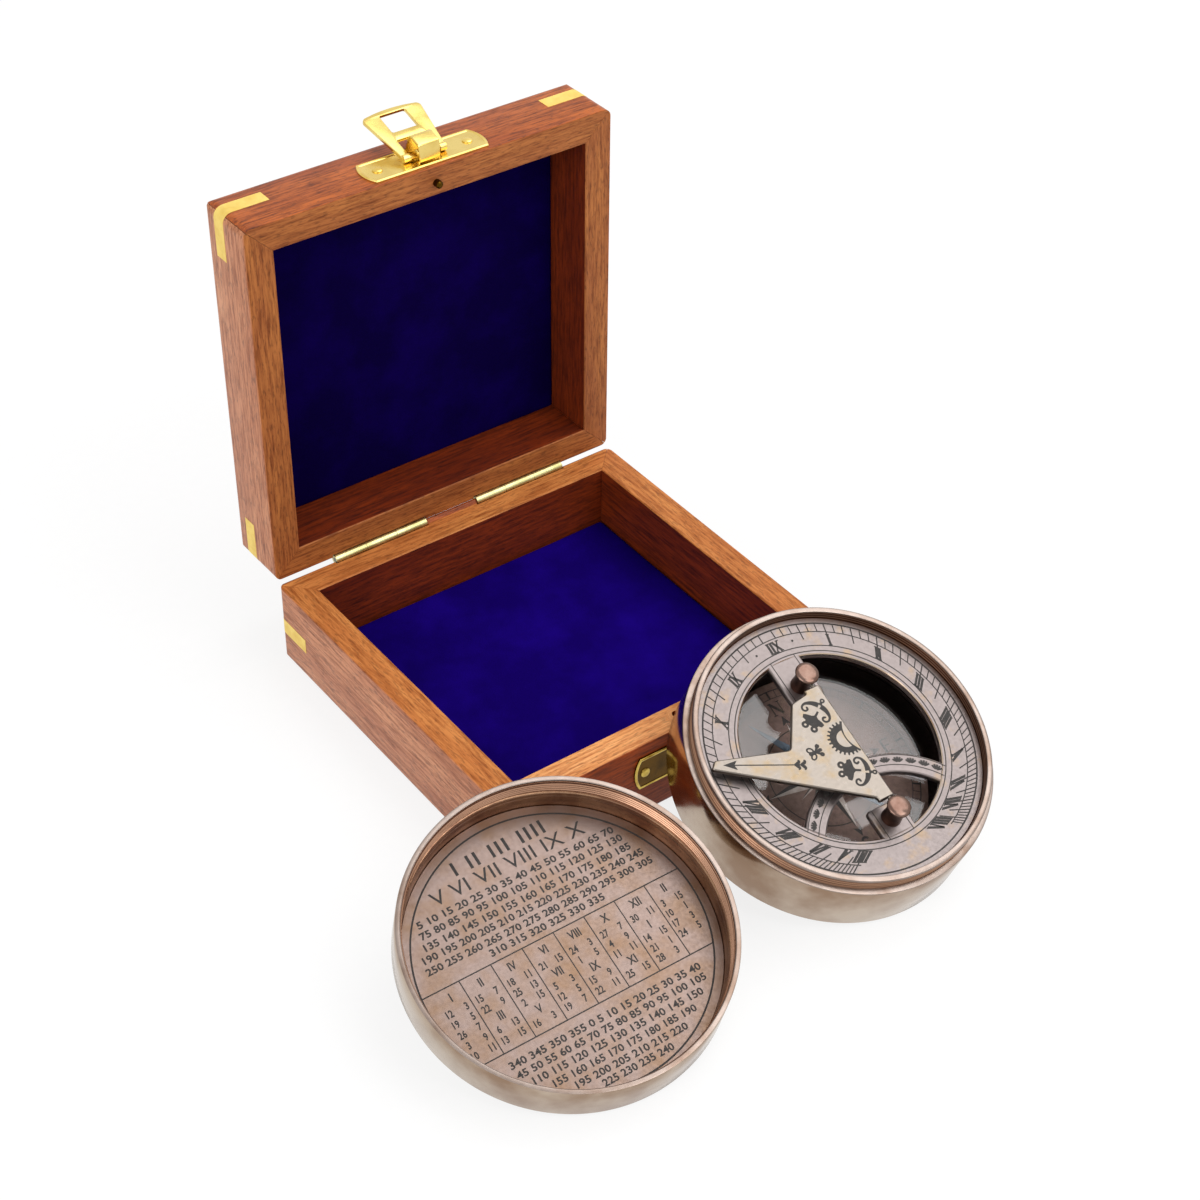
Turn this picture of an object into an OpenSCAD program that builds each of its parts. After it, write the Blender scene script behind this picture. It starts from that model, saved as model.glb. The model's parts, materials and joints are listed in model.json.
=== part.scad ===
// Sundial compass with its screw lid and its fitted wooden box.
// Millimetres. Origin at the middle of the box's underside, X along the hinges, Y to the hinge side, Z up.
// The box stands open; the compass and its screw lid lean on the front edge of the box.

/* [Box] */
// Width of the box, along the hinges
box_w = 104; // [96:1:120]
// Depth of the box, front to back
box_d = 101; // [94:1:120]
// Height of the base
base_h = 23; // [21:0.5:28]
// Height of the lid
lid_h = 17.9; // [16:0.1:24]
// Thickness of the wooden walls
wall_t = 7.6; // [6.8:0.1:9]
// Rounding of the four upright corners
corner_r = 2.5; // [1:0.1:4]
// Rounding of the edges round the underside and round the lid's top
edge_r = 2; // [1:0.1:3]
// Rounding of the rim edges beside the hinges
hinge_edge_r = 0.5; // [0.3:0.1:1.4]
// Thickness of the base's floor panel
floor_t = 3.2; // [2:0.1:4]
// Thickness of the velvet pad in the base
base_pad_t = 3.2; // [1:0.1:5]
// Thickness of the lid's top panel
panel_t = 2.3; // [1.6:0.1:3]
// Thickness of the velvet pad in the lid
lid_pad_t = 1.2; // [0.8:0.1:3]
// Gap between a velvet pad and the walls
pad_gap = 0.1; // [0.05:0.05:0.3]
// Gap between the two rims when the box is shut
rim_gap = 0.3; // [0.2:0.05:0.5]
// Angle at which the lid stands open
lid_open = 90.6; // [80:0.2:95]

/* [Corner keys] */
// Length of a key along each face
key_leg = 12.5; // [9:0.1:13]
// Thickness of a key
key_t = 4.3; // [2:0.1:5]
// Height of a key's middle, above the underside in the base and above the rim in the lid
key_z = 11.2; // [7:0.1:13]

/* [Hinges] */
// Distance between the middles of the two hinges
hinge_spacing = 43.4; // [36:0.2:50]
// Sideways shift of the pair of hinges
hinge_shift = 0.7; // [0:0.1:2]
// Length of a hinge barrel
barrel_len = 27.6; // [20:0.2:30]
// Diameter of a hinge barrel
barrel_d = 2.7; // [2.5:0.1:3]
// Diameter of a hinge pin
hinge_pin_d = 1.2; // [0.8:0.1:1.4]
// Distance of the pin's axis behind the back face
pin_out = 0.45; // [0.4:0.05:0.7]
// Height of a leaf
leaf_h = 8; // [6:0.2:9]
// Thickness of a leaf
leaf_t = 0.8; // [0.5:0.05:1]
// Gap between neighbouring knuckles, and from a knuckle to the other leaf
knuckle_gap = 0.3; // [0.2:0.05:0.5]
// Length that the notch in the wood has beyond each end of a barrel
notch_end = 1.5; // [0.5:0.1:2]
// Gap between a barrel and its notch
notch_gap = 0.35; // [0.3:0.05:0.6]

/* [Latch] */
// Sideways place of the latch
latch_x = 0.4; // [0:0.1:2]
// Length of the latch plate
plate_w = 34.2; // [31:0.2:36]
// Length of the catch plate
catch_w = 31.4; // [29:0.2:34]
// Height of the two plates
plate_h = 9.6; // [8:0.1:10]
// Thickness of the two plates
plate_t = 0.4; // [0.3:0.05:0.6]
// Width of the raised border of the two plates
border_w = 0.9; // [0.5:0.1:1.2]
// Height of the raised border
border_t = 0.15; // [0.1:0.05:0.3]
// Height of the latch plate's middle above the lid's rim
latch_z = 5.7; // [5.5:0.1:6.5]
// Height of the catch plate's middle above the underside
catch_z = 14.5; // [13:0.1:16]
// Width of the strap that holds the hasp
strap_w = 5.8; // [5:0.1:6.4]
// Thickness of the strap
strap_t = 0.8; // [0.5:0.05:1]
// Height of the hasp's axis above the lid's rim
hasp_axis_z = 5; // [4.8:0.1:6]
// Distance of the hasp's axis from the lid's front face
hasp_axis_out = 1.5; // [1.5:0.05:1.9]
// Diameter of the hasp's bar
hasp_bar_d = 1.6; // [1.2:0.1:1.8]
// Length of the hasp from its axis to its tip
hasp_len = 16.1; // [15.6:0.1:18]
// Width of the hasp at its tip
hasp_tip_w = 16.6; // [14:0.2:18]
// Width of the hasp at its bar
hasp_foot_w = 12; // [11.4:0.2:13]
// Thickness of the hasp
hasp_t = 1; // [0.7:0.05:1]
// Width of the hasp's window
window_w = 7.2; // [6.6:0.1:9]
// Distance from the hasp's axis to the near edge of its window
window_from = 8.4; // [8:0.1:9]
// Distance from the hasp's axis to the far edge of its window
window_to = 14.6; // [14.2:0.1:14.8]
// Angle by which the hasp stands off the lid's face
hasp_lift = 17; // [0:0.2:30]
// Diameter of the domed nails
nail_d = 2.4; // [1.8:0.1:2.8]
// Distance between the two nails of a plate
nail_spacing = 25.4; // [23:0.2:26]
// Diameter of the locating pin in the lid's rim
peg_d = 2; // [1.5:0.1:2.6]
// Length by which the locating pin stands out of the rim
peg_out = 1.8; // [1:0.1:2.4]
// Distance of the locating pin from the front face
peg_in = 4.3; // [3.4:0.1:4.6]

/* [Compass case] */
// Outer diameter of the case
case_d = 75.2; // [74:0.2:76]
// Depth of the case below the dial
case_depth = 16.4; // [15.6:0.1:20]
// Thickness of the case's floor
case_floor_t = 1; // [0.8:0.1:1.2]
// Thickness of the case's wall
case_wall = 2.9; // [2.6:0.1:3.2]
// Depth of the shoulder below the dial
shoulder_depth = 0.9; // [0.5:0.1:1.4]
// Height of the rim above the dial
rim_h = 2.6; // [2:0.1:3.2]
// Thickness of the neck's wall, over its thread
neck_wall = 1.4; // [1.2:0.05:1.6]
// Pitch of the screw thread
thread_pitch = 0.5; // [0.4:0.05:0.6]
// Depth of the screw thread
thread_depth = 0.3; // [0.2:0.05:0.35]

/* [Dial] */
// Thickness of the dial plate
dial_t = 1.5; // [1:0.1:1.8]
// Width of the dial's ring
ring_w = 10.2; // [9.8:0.1:10.6]
// Width of the two arms
arm_w = 9.3; // [8.6:0.1:10]
// Length of the north arm
arm_north_len = 11.3; // [10.6:0.1:12]
// Length of the south arm
arm_south_len = 7.5; // [7:0.1:8]
// Distance of the curved band's centre outside the opening
band_out = 6.3; // [5.8:0.1:6.8]
// Inner radius of the curved band
band_in_r = 21.1; // [20.5:0.1:21.5]
// Outer radius of the curved band
band_out_r = 26.1; // [25.6:0.1:26.6]

/* [Gnomon] */
// Distance of the north post from the dial's ring
post_north_in = 7.1; // [6.5:0.1:7.5]
// Distance of the south post from the dial's ring
post_south_in = 3.8; // [3.5:0.1:4.3]
// Diameter of a post
post_d = 4.8; // [4:0.1:5]
// Diameter of a post's head
post_head_d = 5.8; // [5.2:0.1:6.2]
// Height of a post
post_h = 6.3; // [6:0.1:7]
// Height of the gnomon's axis above the dial
gnomon_axis_h = 4.2; // [3.8:0.1:4.4]
// Thickness of the gnomon
gnomon_t = 1.2; // [0.9:0.05:1.3]
// Diameter of the gnomon's pivots
pivot_d = 0.9; // [0.6:0.05:1]
// Width of the gnomon beyond its axis
gnomon_heel = 1.2; // [0.8:0.1:1.6]
// Angle by which the folded gnomon slopes down to the dial
gnomon_slope = 3.5; // [2:0.1:4]
// Gap between the gnomon's tip and the case
gnomon_tip_gap = 0.55; // [0.4:0.05:1]
// Width of the gnomon's necks before its axis
gnomon_neck = 2.8; // [2.4:0.1:3.2]
// Distance of the gnomon's tip to the north of the dial's middle
gnomon_tip_y = 6.5; // [6:0.1:7]

/* [Needle] */
// Gap between the compass card and the bowl
card_gap = 0.15; // [0.1:0.05:0.5]
// Thickness of the compass card
card_t = 0.4; // [0.2:0.05:0.6]
// Distance of the bowl's inner wall from the case
bowl_inset = 7.15; // [7:0.05:7.6]
// Thickness of the glass
glass_t = 1; // [0.8:0.1:1.2]
// Depth of the glass's top below the dial
glass_depth = 5.6; // [4.6:0.1:6.6]
// Wall of the bowl beside the glass
bowl_wall = 1; // [0.8:0.1:1.5]
// Width of the ledge under the glass
ledge_w = 0.9; // [0.5:0.1:1.2]
// Gap between the needle's ends and the bowl
needle_gap = 5.65; // [3:0.05:8]
// Direction of the needle's north end, to the left of noon
needle_bearing = 30; // [0:1:359]
// Width of the needle
needle_w = 4.2; // [3:0.1:5]
// Thickness of the needle
needle_t = 0.4; // [0.3:0.05:0.5]
// Height of the needle above the card
needle_h = 2.1; // [1.8:0.1:2.2]
// Diameter of the needle's pivot pin
needle_pin_d = 1; // [0.8:0.1:1.2]

/* [Screw lid] */
// Gap between the screw lid and the thread of the neck
cover_clear = 0.25; // [0.2:0.05:0.3]
// Thickness of the screw lid's wall
cover_wall = 1.25; // [1.1:0.05:1.5]
// Height of the screw lid
cover_h = 11.6; // [11:0.1:14]
// Depth of the engraved disc below the rim
plate_depth = 10.3; // [9.6:0.1:10.4]
// Thickness of the engraved disc
disc_t = 0.5; // [0.3:0.05:0.6]

/* [Arrangement] */
// Part of the compass's width that lies over the box
compass_over = 11.15; // [8:0.05:14]
// Sideways gap between the compass and the screw lid
pair_gap = 6; // [4:0.05:9]
// Turn of the compass about its own axis
compass_turn = 2.6; // [0:0.1:5]
// Part of the screw lid's width that lies over the box
cover_over = 2.15; // [1.6:0.05:4]
// Direction in which the screw lid leans
cover_heading = 13.5; // [10:0.1:16]
// Distance of the screw lid's middle to the left of the box
cover_left = 8.65; // [6:0.05:11]
// Gap left where a round piece leans on the box
lean_gap = 0.3; // [0.2:0.05:0.5]
// Gap left between a round piece and the table
table_gap = 0.05; // [0.02:0.01:0.1]

/* [Clearances] */
// Clearance round a pin that turns
pin_clear = 0.05; // [0.02:0.01:0.08]
// Gap between moving pieces that pass each other
pass_gap = 0.35; // [0.3:0.05:0.5]
// Gap between the locating pin and its hole
peg_clear = 0.15; // [0.1:0.05:0.3]

/* [Hidden] */
$fn = 96;

wood = "#9c5a36";
brass = "#e0b84e";
pale_brass = "#cdbf6a";
bronze = "#b5a791";
dark_bronze = "#6e4a3c";
velvet_blue = "#1a0a78";

// Steps in a rounded corner of an outline
arc_steps = 6;
// Overlap that makes a cut go right through
cut = 1;

front_y = -box_d/2;
back_y = box_d/2;
pin_y = back_y + pin_out;
pin_z = base_h + rim_gap/2;
leaf_len = barrel_len;
notch_r = barrel_d/2 + notch_gap;
hinge_nail_d = 1.1;
hinge_nail_head_d = 2.2;
hinge_nail_head_t = 0.35;
hinge_nail_len = 5;
hinge_nail_reach = 9;
nail_shank_d = 1.1;
nail_len = 5;
nail_head_h = 0.7;
plate_bow = 1.4;
peg_depth = 4;
// The strap's front face, its ridge and its back foot, from the hasp's axis, and their heights
strap_before = 2.7;
strap_ridge = 1.8;
strap_behind = 4.6;
strap_rise = 3.2;
strap_crease = 5.2;
strap_peak = 6.6;
lug_w = 4.6;
lug_half = 1.3;
lug_top = hasp_axis_out + lug_half;
slot_side = 1.2;
slot_w = strap_w + 2*slot_side;
slot_from = hasp_bar_d/2 + 0.1;
slot_to = norm([strap_ridge, strap_peak - hasp_axis_out]) + pass_gap;
hook_w = 5;
hook_t = 1.1;
hook_out = 4.4;

case_r = case_d/2;
bore_r = case_r - case_wall;
neck_r = bore_r + neck_wall;
edge_round = 0.8;
chamber_floor = case_floor_t - case_depth;
glass_top = -glass_depth;
glass_bottom = glass_top - glass_t;
seat_clear = 0.05;
bowl_in_r = bore_r - bowl_inset;
glass_r = bowl_in_r - seat_clear;
bowl_out_r = bowl_in_r + bowl_wall;
ledge_r = bowl_in_r - ledge_w;
flange_t = 1;
card_r = ledge_r - card_gap;
needle_len = 2*(ledge_r - needle_gap);
keeper_w = 1.1;
keeper_t = 0.8;
dial_hole_r = bore_r - ring_w;
arm_north = dial_hole_r - arm_north_len;
arm_south = dial_hole_r - arm_south_len;
band_centre = dial_hole_r + band_out;
post_north_y = dial_hole_r - post_north_in;
post_south_y = dial_hole_r - post_south_in;
card_top = chamber_floor + card_t;
needle_z = card_top + needle_h;
cap_d = 3.6;
cap_neck_d = 2.4;
cap_neck_h = 0.3;
cap_dome_h = 0.6;
socket_z = needle_z + needle_t + cap_dome_h/2;
post_neck_r = 1.2;
post_head_h = 1;
nut_t = 1.4;
nut_across = 4.6;
pivot_len = 1.4;
gnomon_north = post_north_y - post_head_d/2 - pass_gap;
gnomon_south = -(post_south_y - post_head_d/2 - pass_gap);
// Corners of the gnomon's outline: its shoulder, from axis and north end, and its notch
shoulder = [7.4, 1.65];
notch = [14.3, 2.6];
gnomon_tip_r = bore_r - gnomon_tip_gap;
gnomon_reach = sqrt(gnomon_tip_r*gnomon_tip_r - gnomon_tip_y*gnomon_tip_y);
pivot_out = post_head_d/2 - post_d/2 + pass_gap;

cover_bore_r = neck_r + cover_clear;
cover_r = cover_bore_r + cover_wall;
cover_step = 0.6;
disc_r = cover_bore_r - cover_step;
cover_chamfer = 0.2;

function unit(v) = v/norm(v);
function wrap(a) = a > 180 ? a - 360 : (a < -180 ? a + 360 : a);
function xy(p) = [p[0], p[1]];

// Points of one corner b between a and c, rounded by r
function corner(a, b, c, r) =
    r <= 0 ? [b] :
    let (u = unit(a - b), v = unit(c - b), half = acos(u*v)/2)
    let (m = b + unit(u + v)*r/sin(half), s = b + u*r/tan(half) - m, e = b + v*r/tan(half) - m)
    let (from = atan2(s[1], s[0]), sweep = wrap(atan2(e[1], e[0]) - from))
    [for (k = [0:arc_steps]) m + r*[cos(from + sweep*k/arc_steps), sin(from + sweep*k/arc_steps)]];

// Outline from corners given as [x, y, rounding]
function rounded(p) =
    let (n = len(p))
    [for (i = [0:n - 1]) each corner(xy(p[(i + n - 1) % n]), xy(p[i]), xy(p[(i + 1) % n]), p[i][2])];

// Zigzag of a thread from height z0 up to z1, between radius a and radius b
function thread(z0, z1, a, b) =
    let (turns = floor((z1 - z0)/thread_pitch))
    [for (i = [0:turns - 1]) each [[a, z0 + i*thread_pitch], [b, z0 + (i + 0.5)*thread_pitch]]];

// Place of a tilted disc that touches the table and rests on the point k of the box's edge:
// tilt t, heading h, sideways place x, radius r and depth d below the disc's own origin
function lean(t, h, x, r, d, k) =
    let (n = [-sin(t)*sin(h), -sin(t)*cos(h), cos(t)], up = [sin(h)*cos(t), cos(h)*cos(t), sin(t)])
    let (px = x - r*up[0] - d*n[0])
    let (py = k[1] + (n[0]*(k[0] - px) + n[2]*(k[2] - table_gap) + lean_gap)/n[1])
    [px, py, table_gap] + r*up + d*n;

cover_rest = [corner_r*(1 - sin(cover_heading)) - box_w/2,
              front_y + corner_r*(1 - cos(cover_heading)), base_h];
cover_x = -box_w/2 - cover_left;
compass_x = cover_x + case_r + cover_r + pair_gap;
compass_tilt = asin(base_h/(2*case_r - compass_over));
cover_tilt = asin(base_h/(2*cover_r - cover_over));
compass_place = lean(compass_tilt, 0, compass_x, case_r, case_depth, [compass_x, front_y, base_h]);
cover_place = lean(cover_tilt, cover_heading, cover_x, cover_r, cover_h, cover_rest);

// Places one of the children at each hinge
module each_hinge() {
    for (s = [-1, 1]) translate([hinge_shift + s*hinge_spacing/2, pin_y, 0]) children();
}

// Carries the lid's pieces, drawn with the rim at z = 0, to the open lid
module on_lid() {
    translate([0, pin_y, pin_z]) rotate([-lid_open, 0, 0]) translate([0, -pin_y, rim_gap/2]) children();
}

// Carries pieces from the compass's own frame: middle of the dial, +Y to noon, Z out of the dial
module on_compass() {
    translate(compass_place) rotate([compass_tilt, 0, 0]) rotate([0, 0, -compass_turn]) children();
}

// Carries pieces from the gnomon's own frame: axis along Y, plate towards -X
module on_gnomon() {
    on_compass() translate([0, 0, gnomon_axis_h]) rotate([0, -gnomon_slope, 0]) children();
}

// Carries pieces from the screw lid's own frame: middle of the rim's plane, Z out of the mouth
module on_cover() {
    translate(cover_place) rotate([0, 0, -cover_heading]) rotate([cover_tilt, 0, 0]) children();
}

module along_x(len) {
    translate([-len/2, 0, 0]) rotate([90, 0, 90]) linear_extrude(len) children();
}

// Rounded box blank standing on its rounded face, rim upwards
module blank(h) {
    w = box_w/2;
    d = box_d/2;
    intersection() {
        linear_extrude(h)
            polygon(rounded([[-w, -d, corner_r], [w, -d, corner_r], [w, d, corner_r], [-w, d, corner_r]]));
        translate([0, d, 0]) rotate([90, 0, 0]) linear_extrude(box_d)
            polygon(rounded([[-w, 0, edge_r], [w, 0, edge_r], [w, h, 0], [-w, h, 0]]));
        along_x(box_w)
            polygon(rounded([[-d, 0, edge_r], [d, 0, edge_r], [d, h, hinge_edge_r], [-d, h, 0]]));
    }
}

// Mitred prism of the front wall, or of the back wall where side is 1
module long_mitre(side) {
    w = box_w/2;
    d = side*box_d/2;
    translate([0, 0, -cut]) linear_extrude(base_h + lid_h)
        polygon([[-w - cut, d + side*cut], [w + cut, d + side*cut],
                 [w - wall_t, d - side*wall_t], [wall_t - w, d - side*wall_t]]);
}

// Mitred prism of the left wall, or of the right wall where side is 1
module short_mitre(side) {
    w = side*box_w/2;
    d = box_d/2;
    translate([0, 0, -cut]) linear_extrude(base_h + lid_h)
        polygon([[w + side*cut, -d - cut], [w + side*cut, d + cut],
                 [w - side*wall_t, d - wall_t], [w - side*wall_t, wall_t - d]]);
}

// Triangular kerfs across the four corners, with their middle at height z
module kerfs(z) {
    far = key_leg + cut;
    for (a = [-1, 1], b = [-1, 1])
        translate([a*box_w/2, b*box_d/2, z - key_t/2]) linear_extrude(key_t)
            polygon([[a*cut, b*cut], [-a*far, b*cut], [a*cut, -b*far]]);
}

// The keys that fill the kerfs of a blank
module keys(h, z) {
    intersection() {
        blank(h);
        kerfs(z);
    }
}

module inner_plate(z, t, gap) {
    w = box_w - 2*wall_t - 2*gap;
    d = box_d - 2*wall_t - 2*gap;
    translate([-w/2, -d/2, z]) cube([w, d, t]);
}

// Notches for the barrels, round the hinge axis at height z
module barrel_notches(z) {
    each_hinge() translate([0, 0, z]) along_x(barrel_len + 2*notch_end) circle(r = notch_r);
}

// Leaf let into a back face below the axis at height z, with knuckles at the given spans
module leaf(z, spans) {
    each_hinge() difference() {
        union() {
            translate([-leaf_len/2, -pin_out - leaf_t, z - leaf_h - barrel_d/2 - knuckle_gap])
                cube([leaf_len, leaf_t, leaf_h]);
            for (s = spans) {
                translate([s[0], -pin_out - leaf_t, z - leaf_h/2]) cube([s[1] - s[0], leaf_t, leaf_h/2]);
                translate([(s[0] + s[1])/2, 0, z]) along_x(s[1] - s[0]) circle(d = barrel_d);
            }
        }
        translate([0, 0, z]) along_x(barrel_len + cut) circle(d = hinge_pin_d + 2*pin_clear);
    }
}

// Pocket in the wood for a leaf
module leaf_pocket(z) {
    each_hinge() translate([-leaf_len/2, -pin_out - leaf_t, z - leaf_h - barrel_d/2 - knuckle_gap])
        cube([leaf_len, leaf_t + pin_out, leaf_h + barrel_d/2 + knuckle_gap]);
}

// Nails through a leaf, three to a hinge
module hinge_nails(z) {
    each_hinge() for (k = [-1:1])
        translate([k*hinge_nail_reach, -pin_out, z - leaf_h/2 - barrel_d/2 - knuckle_gap])
            rotate([90, 0, 0]) {
                cylinder(d = hinge_nail_head_d, h = hinge_nail_head_t);
                cylinder(d = hinge_nail_d, h = hinge_nail_len);
            }
}

knuckle = (barrel_len - 2*knuckle_gap)/3;
outer_knuckles = [[-barrel_len/2, -barrel_len/2 + knuckle], [barrel_len/2 - knuckle, barrel_len/2]];
middle_knuckle = [[-knuckle/2, knuckle/2]];

// Points of the latch and catch plates' outline, ends bowed outwards
function bowed(w, h) =
    let (r = (h*h/4 + plate_bow*plate_bow)/(2*plate_bow), a = asin(h/(2*r)))
    [for (s = [1, -1], k = [-arc_steps:arc_steps])
        s*[w/2 - r + r*cos(a*k/arc_steps), r*sin(a*k/arc_steps)]];

// Plate of length w with a raised border, facing the front at height z
module bordered_plate(z, w) {
    translate([latch_x, front_y, z]) rotate([90, 0, 0]) {
        difference() {
            linear_extrude(plate_t + border_t) polygon(bowed(w, plate_h));
            translate([0, 0, plate_t]) linear_extrude(cut)
                polygon(bowed(w - 2*border_w, plate_h - 2*border_w));
        }
    }
}

// Places one of the children at each nail of a plate whose middle is at height z
module each_nail(z) {
    for (s = [-1, 1]) translate([latch_x + s*nail_spacing/2, front_y, z]) rotate([90, 0, 0]) children();
}

// Shanks of a plate's nails, or their holes where they are longer by c
module nail_shanks(z, c) {
    each_nail(z) translate([0, 0, -nail_len]) cylinder(d = nail_shank_d, h = nail_len + plate_t + c);
}

// The two domed nails of a plate
module plate_nails(z) {
    dome_r = (nail_d*nail_d/4 + nail_head_h*nail_head_h)/(2*nail_head_h);
    nail_shanks(z, 0);
    each_nail(z) intersection() {
        translate([0, 0, plate_t]) cylinder(d = nail_d, h = nail_head_h);
        translate([0, 0, plate_t + nail_head_h - dome_r]) sphere(r = dome_r);
    }
}

module base_wood() {
    difference() {
        intersection() {
            blank(base_h);
            children();
        }
        kerfs(key_z);
        barrel_notches(pin_z);
        leaf_pocket(pin_z);
        hinge_nails(pin_z);
        nail_shanks(catch_z, cut);
        translate([latch_x, front_y + peg_in, base_h - peg_out - 2*pass_gap])
            cylinder(d = peg_d + 2*peg_clear, h = peg_out + 2*pass_gap + cut);
    }
}

module base_wall_front() { color(wood) base_wood() long_mitre(-1); }
module base_wall_back() { color(wood) base_wood() long_mitre(1); }
module base_wall_left() { color(wood) base_wood() short_mitre(-1); }
module base_wall_right() { color(wood) base_wood() short_mitre(1); }
module base_floor() { color(wood) inner_plate(0, floor_t, 0); }
module base_velvet() { color(velvet_blue) inner_plate(floor_t, base_pad_t, pad_gap); }
module base_corner_keys() { color(brass) keys(base_h, key_z); }

module base_hinge_leaves() {
    color(pale_brass) difference() {
        leaf(pin_z, outer_knuckles);
        hinge_nails(pin_z);
    }
}

module hinge_pins() {
    color("silver") each_hinge() translate([0, 0, pin_z]) along_x(barrel_len) circle(d = hinge_pin_d);
}

module base_hinge_nails() { color(pale_brass) hinge_nails(pin_z); }

module catch_plate() {
    axis_z = base_h + rim_gap + hasp_axis_z;
    hook_z = axis_z - (window_from + window_to)/2;
    lip_z = axis_z - window_to + 0.8;
    color(pale_brass) difference() {
        union() {
            bordered_plate(catch_z, catch_w);
            translate([latch_x, front_y, 0]) along_x(hook_w)
                polygon([[-plate_t/2, hook_z - hook_t/2], [-plate_t/2, hook_z + hook_t/2],
                         [-hook_out, hook_z + hook_t/2], [-hook_out, lip_z],
                         [hook_t - hook_out, lip_z], [hook_t - hook_out, hook_z - hook_t/2]]);
        }
        nail_shanks(catch_z, cut);
    }
}

module catch_nails() { color(brass) plate_nails(catch_z); }

// Lid pieces, drawn with the rim at z = 0 and the top upwards, as when the box is shut
module lid_blank() { translate([0, 0, lid_h]) mirror([0, 0, 1]) blank(lid_h); }
module lid_keys() { translate([0, 0, lid_h]) mirror([0, 0, 1]) keys(lid_h, lid_h - key_z); }
module lid_leaf() { mirror([0, 0, 1]) leaf(rim_gap/2, middle_knuckle); }
module lid_nails() { mirror([0, 0, 1]) hinge_nails(rim_gap/2); }

module lid_wood() {
    on_lid() difference() {
        intersection() {
            lid_blank();
            children();
        }
        kerfs(key_z);
        barrel_notches(-rim_gap/2);
        mirror([0, 0, 1]) leaf_pocket(rim_gap/2);
        lid_nails();
        nail_shanks(latch_z, cut);
        translate([latch_x, front_y + peg_in, -cut]) cylinder(d = peg_d, h = peg_depth + cut);
    }
}

module lid_wall_front() { color(wood) lid_wood() long_mitre(-1); }
module lid_wall_back() { color(wood) lid_wood() long_mitre(1); }
module lid_wall_left() { color(wood) lid_wood() short_mitre(-1); }
module lid_wall_right() { color(wood) lid_wood() short_mitre(1); }
module lid_panel() { color(wood) on_lid() inner_plate(lid_h - panel_t, panel_t, 0); }
module lid_velvet() {
    color(velvet_blue) on_lid() inner_plate(lid_h - panel_t - lid_pad_t, lid_pad_t, pad_gap);
}
module lid_corner_keys() { color(brass) on_lid() lid_keys(); }

module lid_hinge_leaves() {
    color(pale_brass) on_lid() difference() {
        lid_leaf();
        lid_nails();
    }
}

module lid_hinge_nails() { color(pale_brass) on_lid() lid_nails(); }

// Strap bent over the hasp's bar, with the lug that the bar turns in
module strap() {
    front = hasp_axis_z - strap_before;
    ridge = hasp_axis_z + strap_ridge;
    back = hasp_axis_z + strap_behind;
    outer = rounded([[front, 0.1, 0], [front, strap_rise, 0.3], [front + 0.3, strap_crease, 0.8],
                     [ridge, strap_peak, 1.6], [back, 0.1, 0]]);
    inner = rounded([[front + strap_t, -cut, 0], [front + strap_t, strap_rise, 0.3],
                     [front + strap_t + 0.2, strap_crease - strap_t, 0.4],
                     [ridge - 0.3, strap_peak - strap_t, 1], [back - strap_t, -cut, 0]]);
    translate([latch_x, front_y, 0]) mirror([0, 1, 0]) {
        difference() {
            rotate([90, 0, 90]) translate([0, 0, -strap_w/2]) linear_extrude(strap_w)
                polygon([for (p = outer) [p[1], p[0]]]);
            rotate([90, 0, 90]) translate([0, 0, -strap_w/2 - cut]) linear_extrude(strap_w + 2*cut)
                polygon([for (p = inner) [p[1], p[0]]]);
        }
        translate([-lug_w/2, 0, hasp_axis_z - lug_half]) cube([lug_w, lug_top, 2*lug_half]);
    }
}

// The hasp's bar, wider by the clearance c
module hasp_bar(len, c) {
    translate([latch_x, front_y - hasp_axis_out, hasp_axis_z]) along_x(len) circle(d = hasp_bar_d + 2*c);
}

module latch_plate() {
    color(brass) on_lid() difference() {
        union() {
            bordered_plate(latch_z, plate_w);
            strap();
        }
        hasp_bar(lug_w + cut, pin_clear);
        nail_shanks(latch_z, cut);
    }
}

module latch_nails() { color(brass) on_lid() plate_nails(latch_z); }

module locating_pin() {
    color(pale_brass) on_lid() translate([latch_x, front_y + peg_in, -peg_out])
        cylinder(d = peg_d, h = peg_out + peg_depth);
}

// Hasp, drawn flat in X and Y with its axis along X, and then swung off the lid's face
module hasp() {
    foot = hasp_foot_w/2;
    tip = hasp_tip_w/2;
    color(brass) on_lid() {
        hasp_bar(hasp_foot_w - 1, 0);
        translate([latch_x, front_y - hasp_axis_out, hasp_axis_z]) rotate([90 + hasp_lift, 0, 0])
            translate([0, 0, -hasp_t/2]) {
                linear_extrude(hasp_t) difference() {
                    polygon(rounded([[-foot, -hasp_bar_d/4, 0.3], [foot, -hasp_bar_d/4, 0.3],
                                     [tip, hasp_len, 1.2], [-tip, hasp_len, 1.2]]));
                    translate([-slot_w/2, slot_from]) square([slot_w, slot_to - slot_from]);
                    polygon(rounded([[-window_w/2, window_from, 0.5], [window_w/2, window_from, 0.5],
                                     [window_w/2, window_to, 0.5], [-window_w/2, window_to, 0.5]]));
                    translate([-slot_w/2, -cut]) square([slot_w, cut + slot_from]);
                }
                translate([0, hasp_len - hasp_t*0.7, hasp_t*0.3]) along_x(hasp_tip_w - 3)
                    circle(d = hasp_t*1.4);
            }
    }
}

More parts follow.
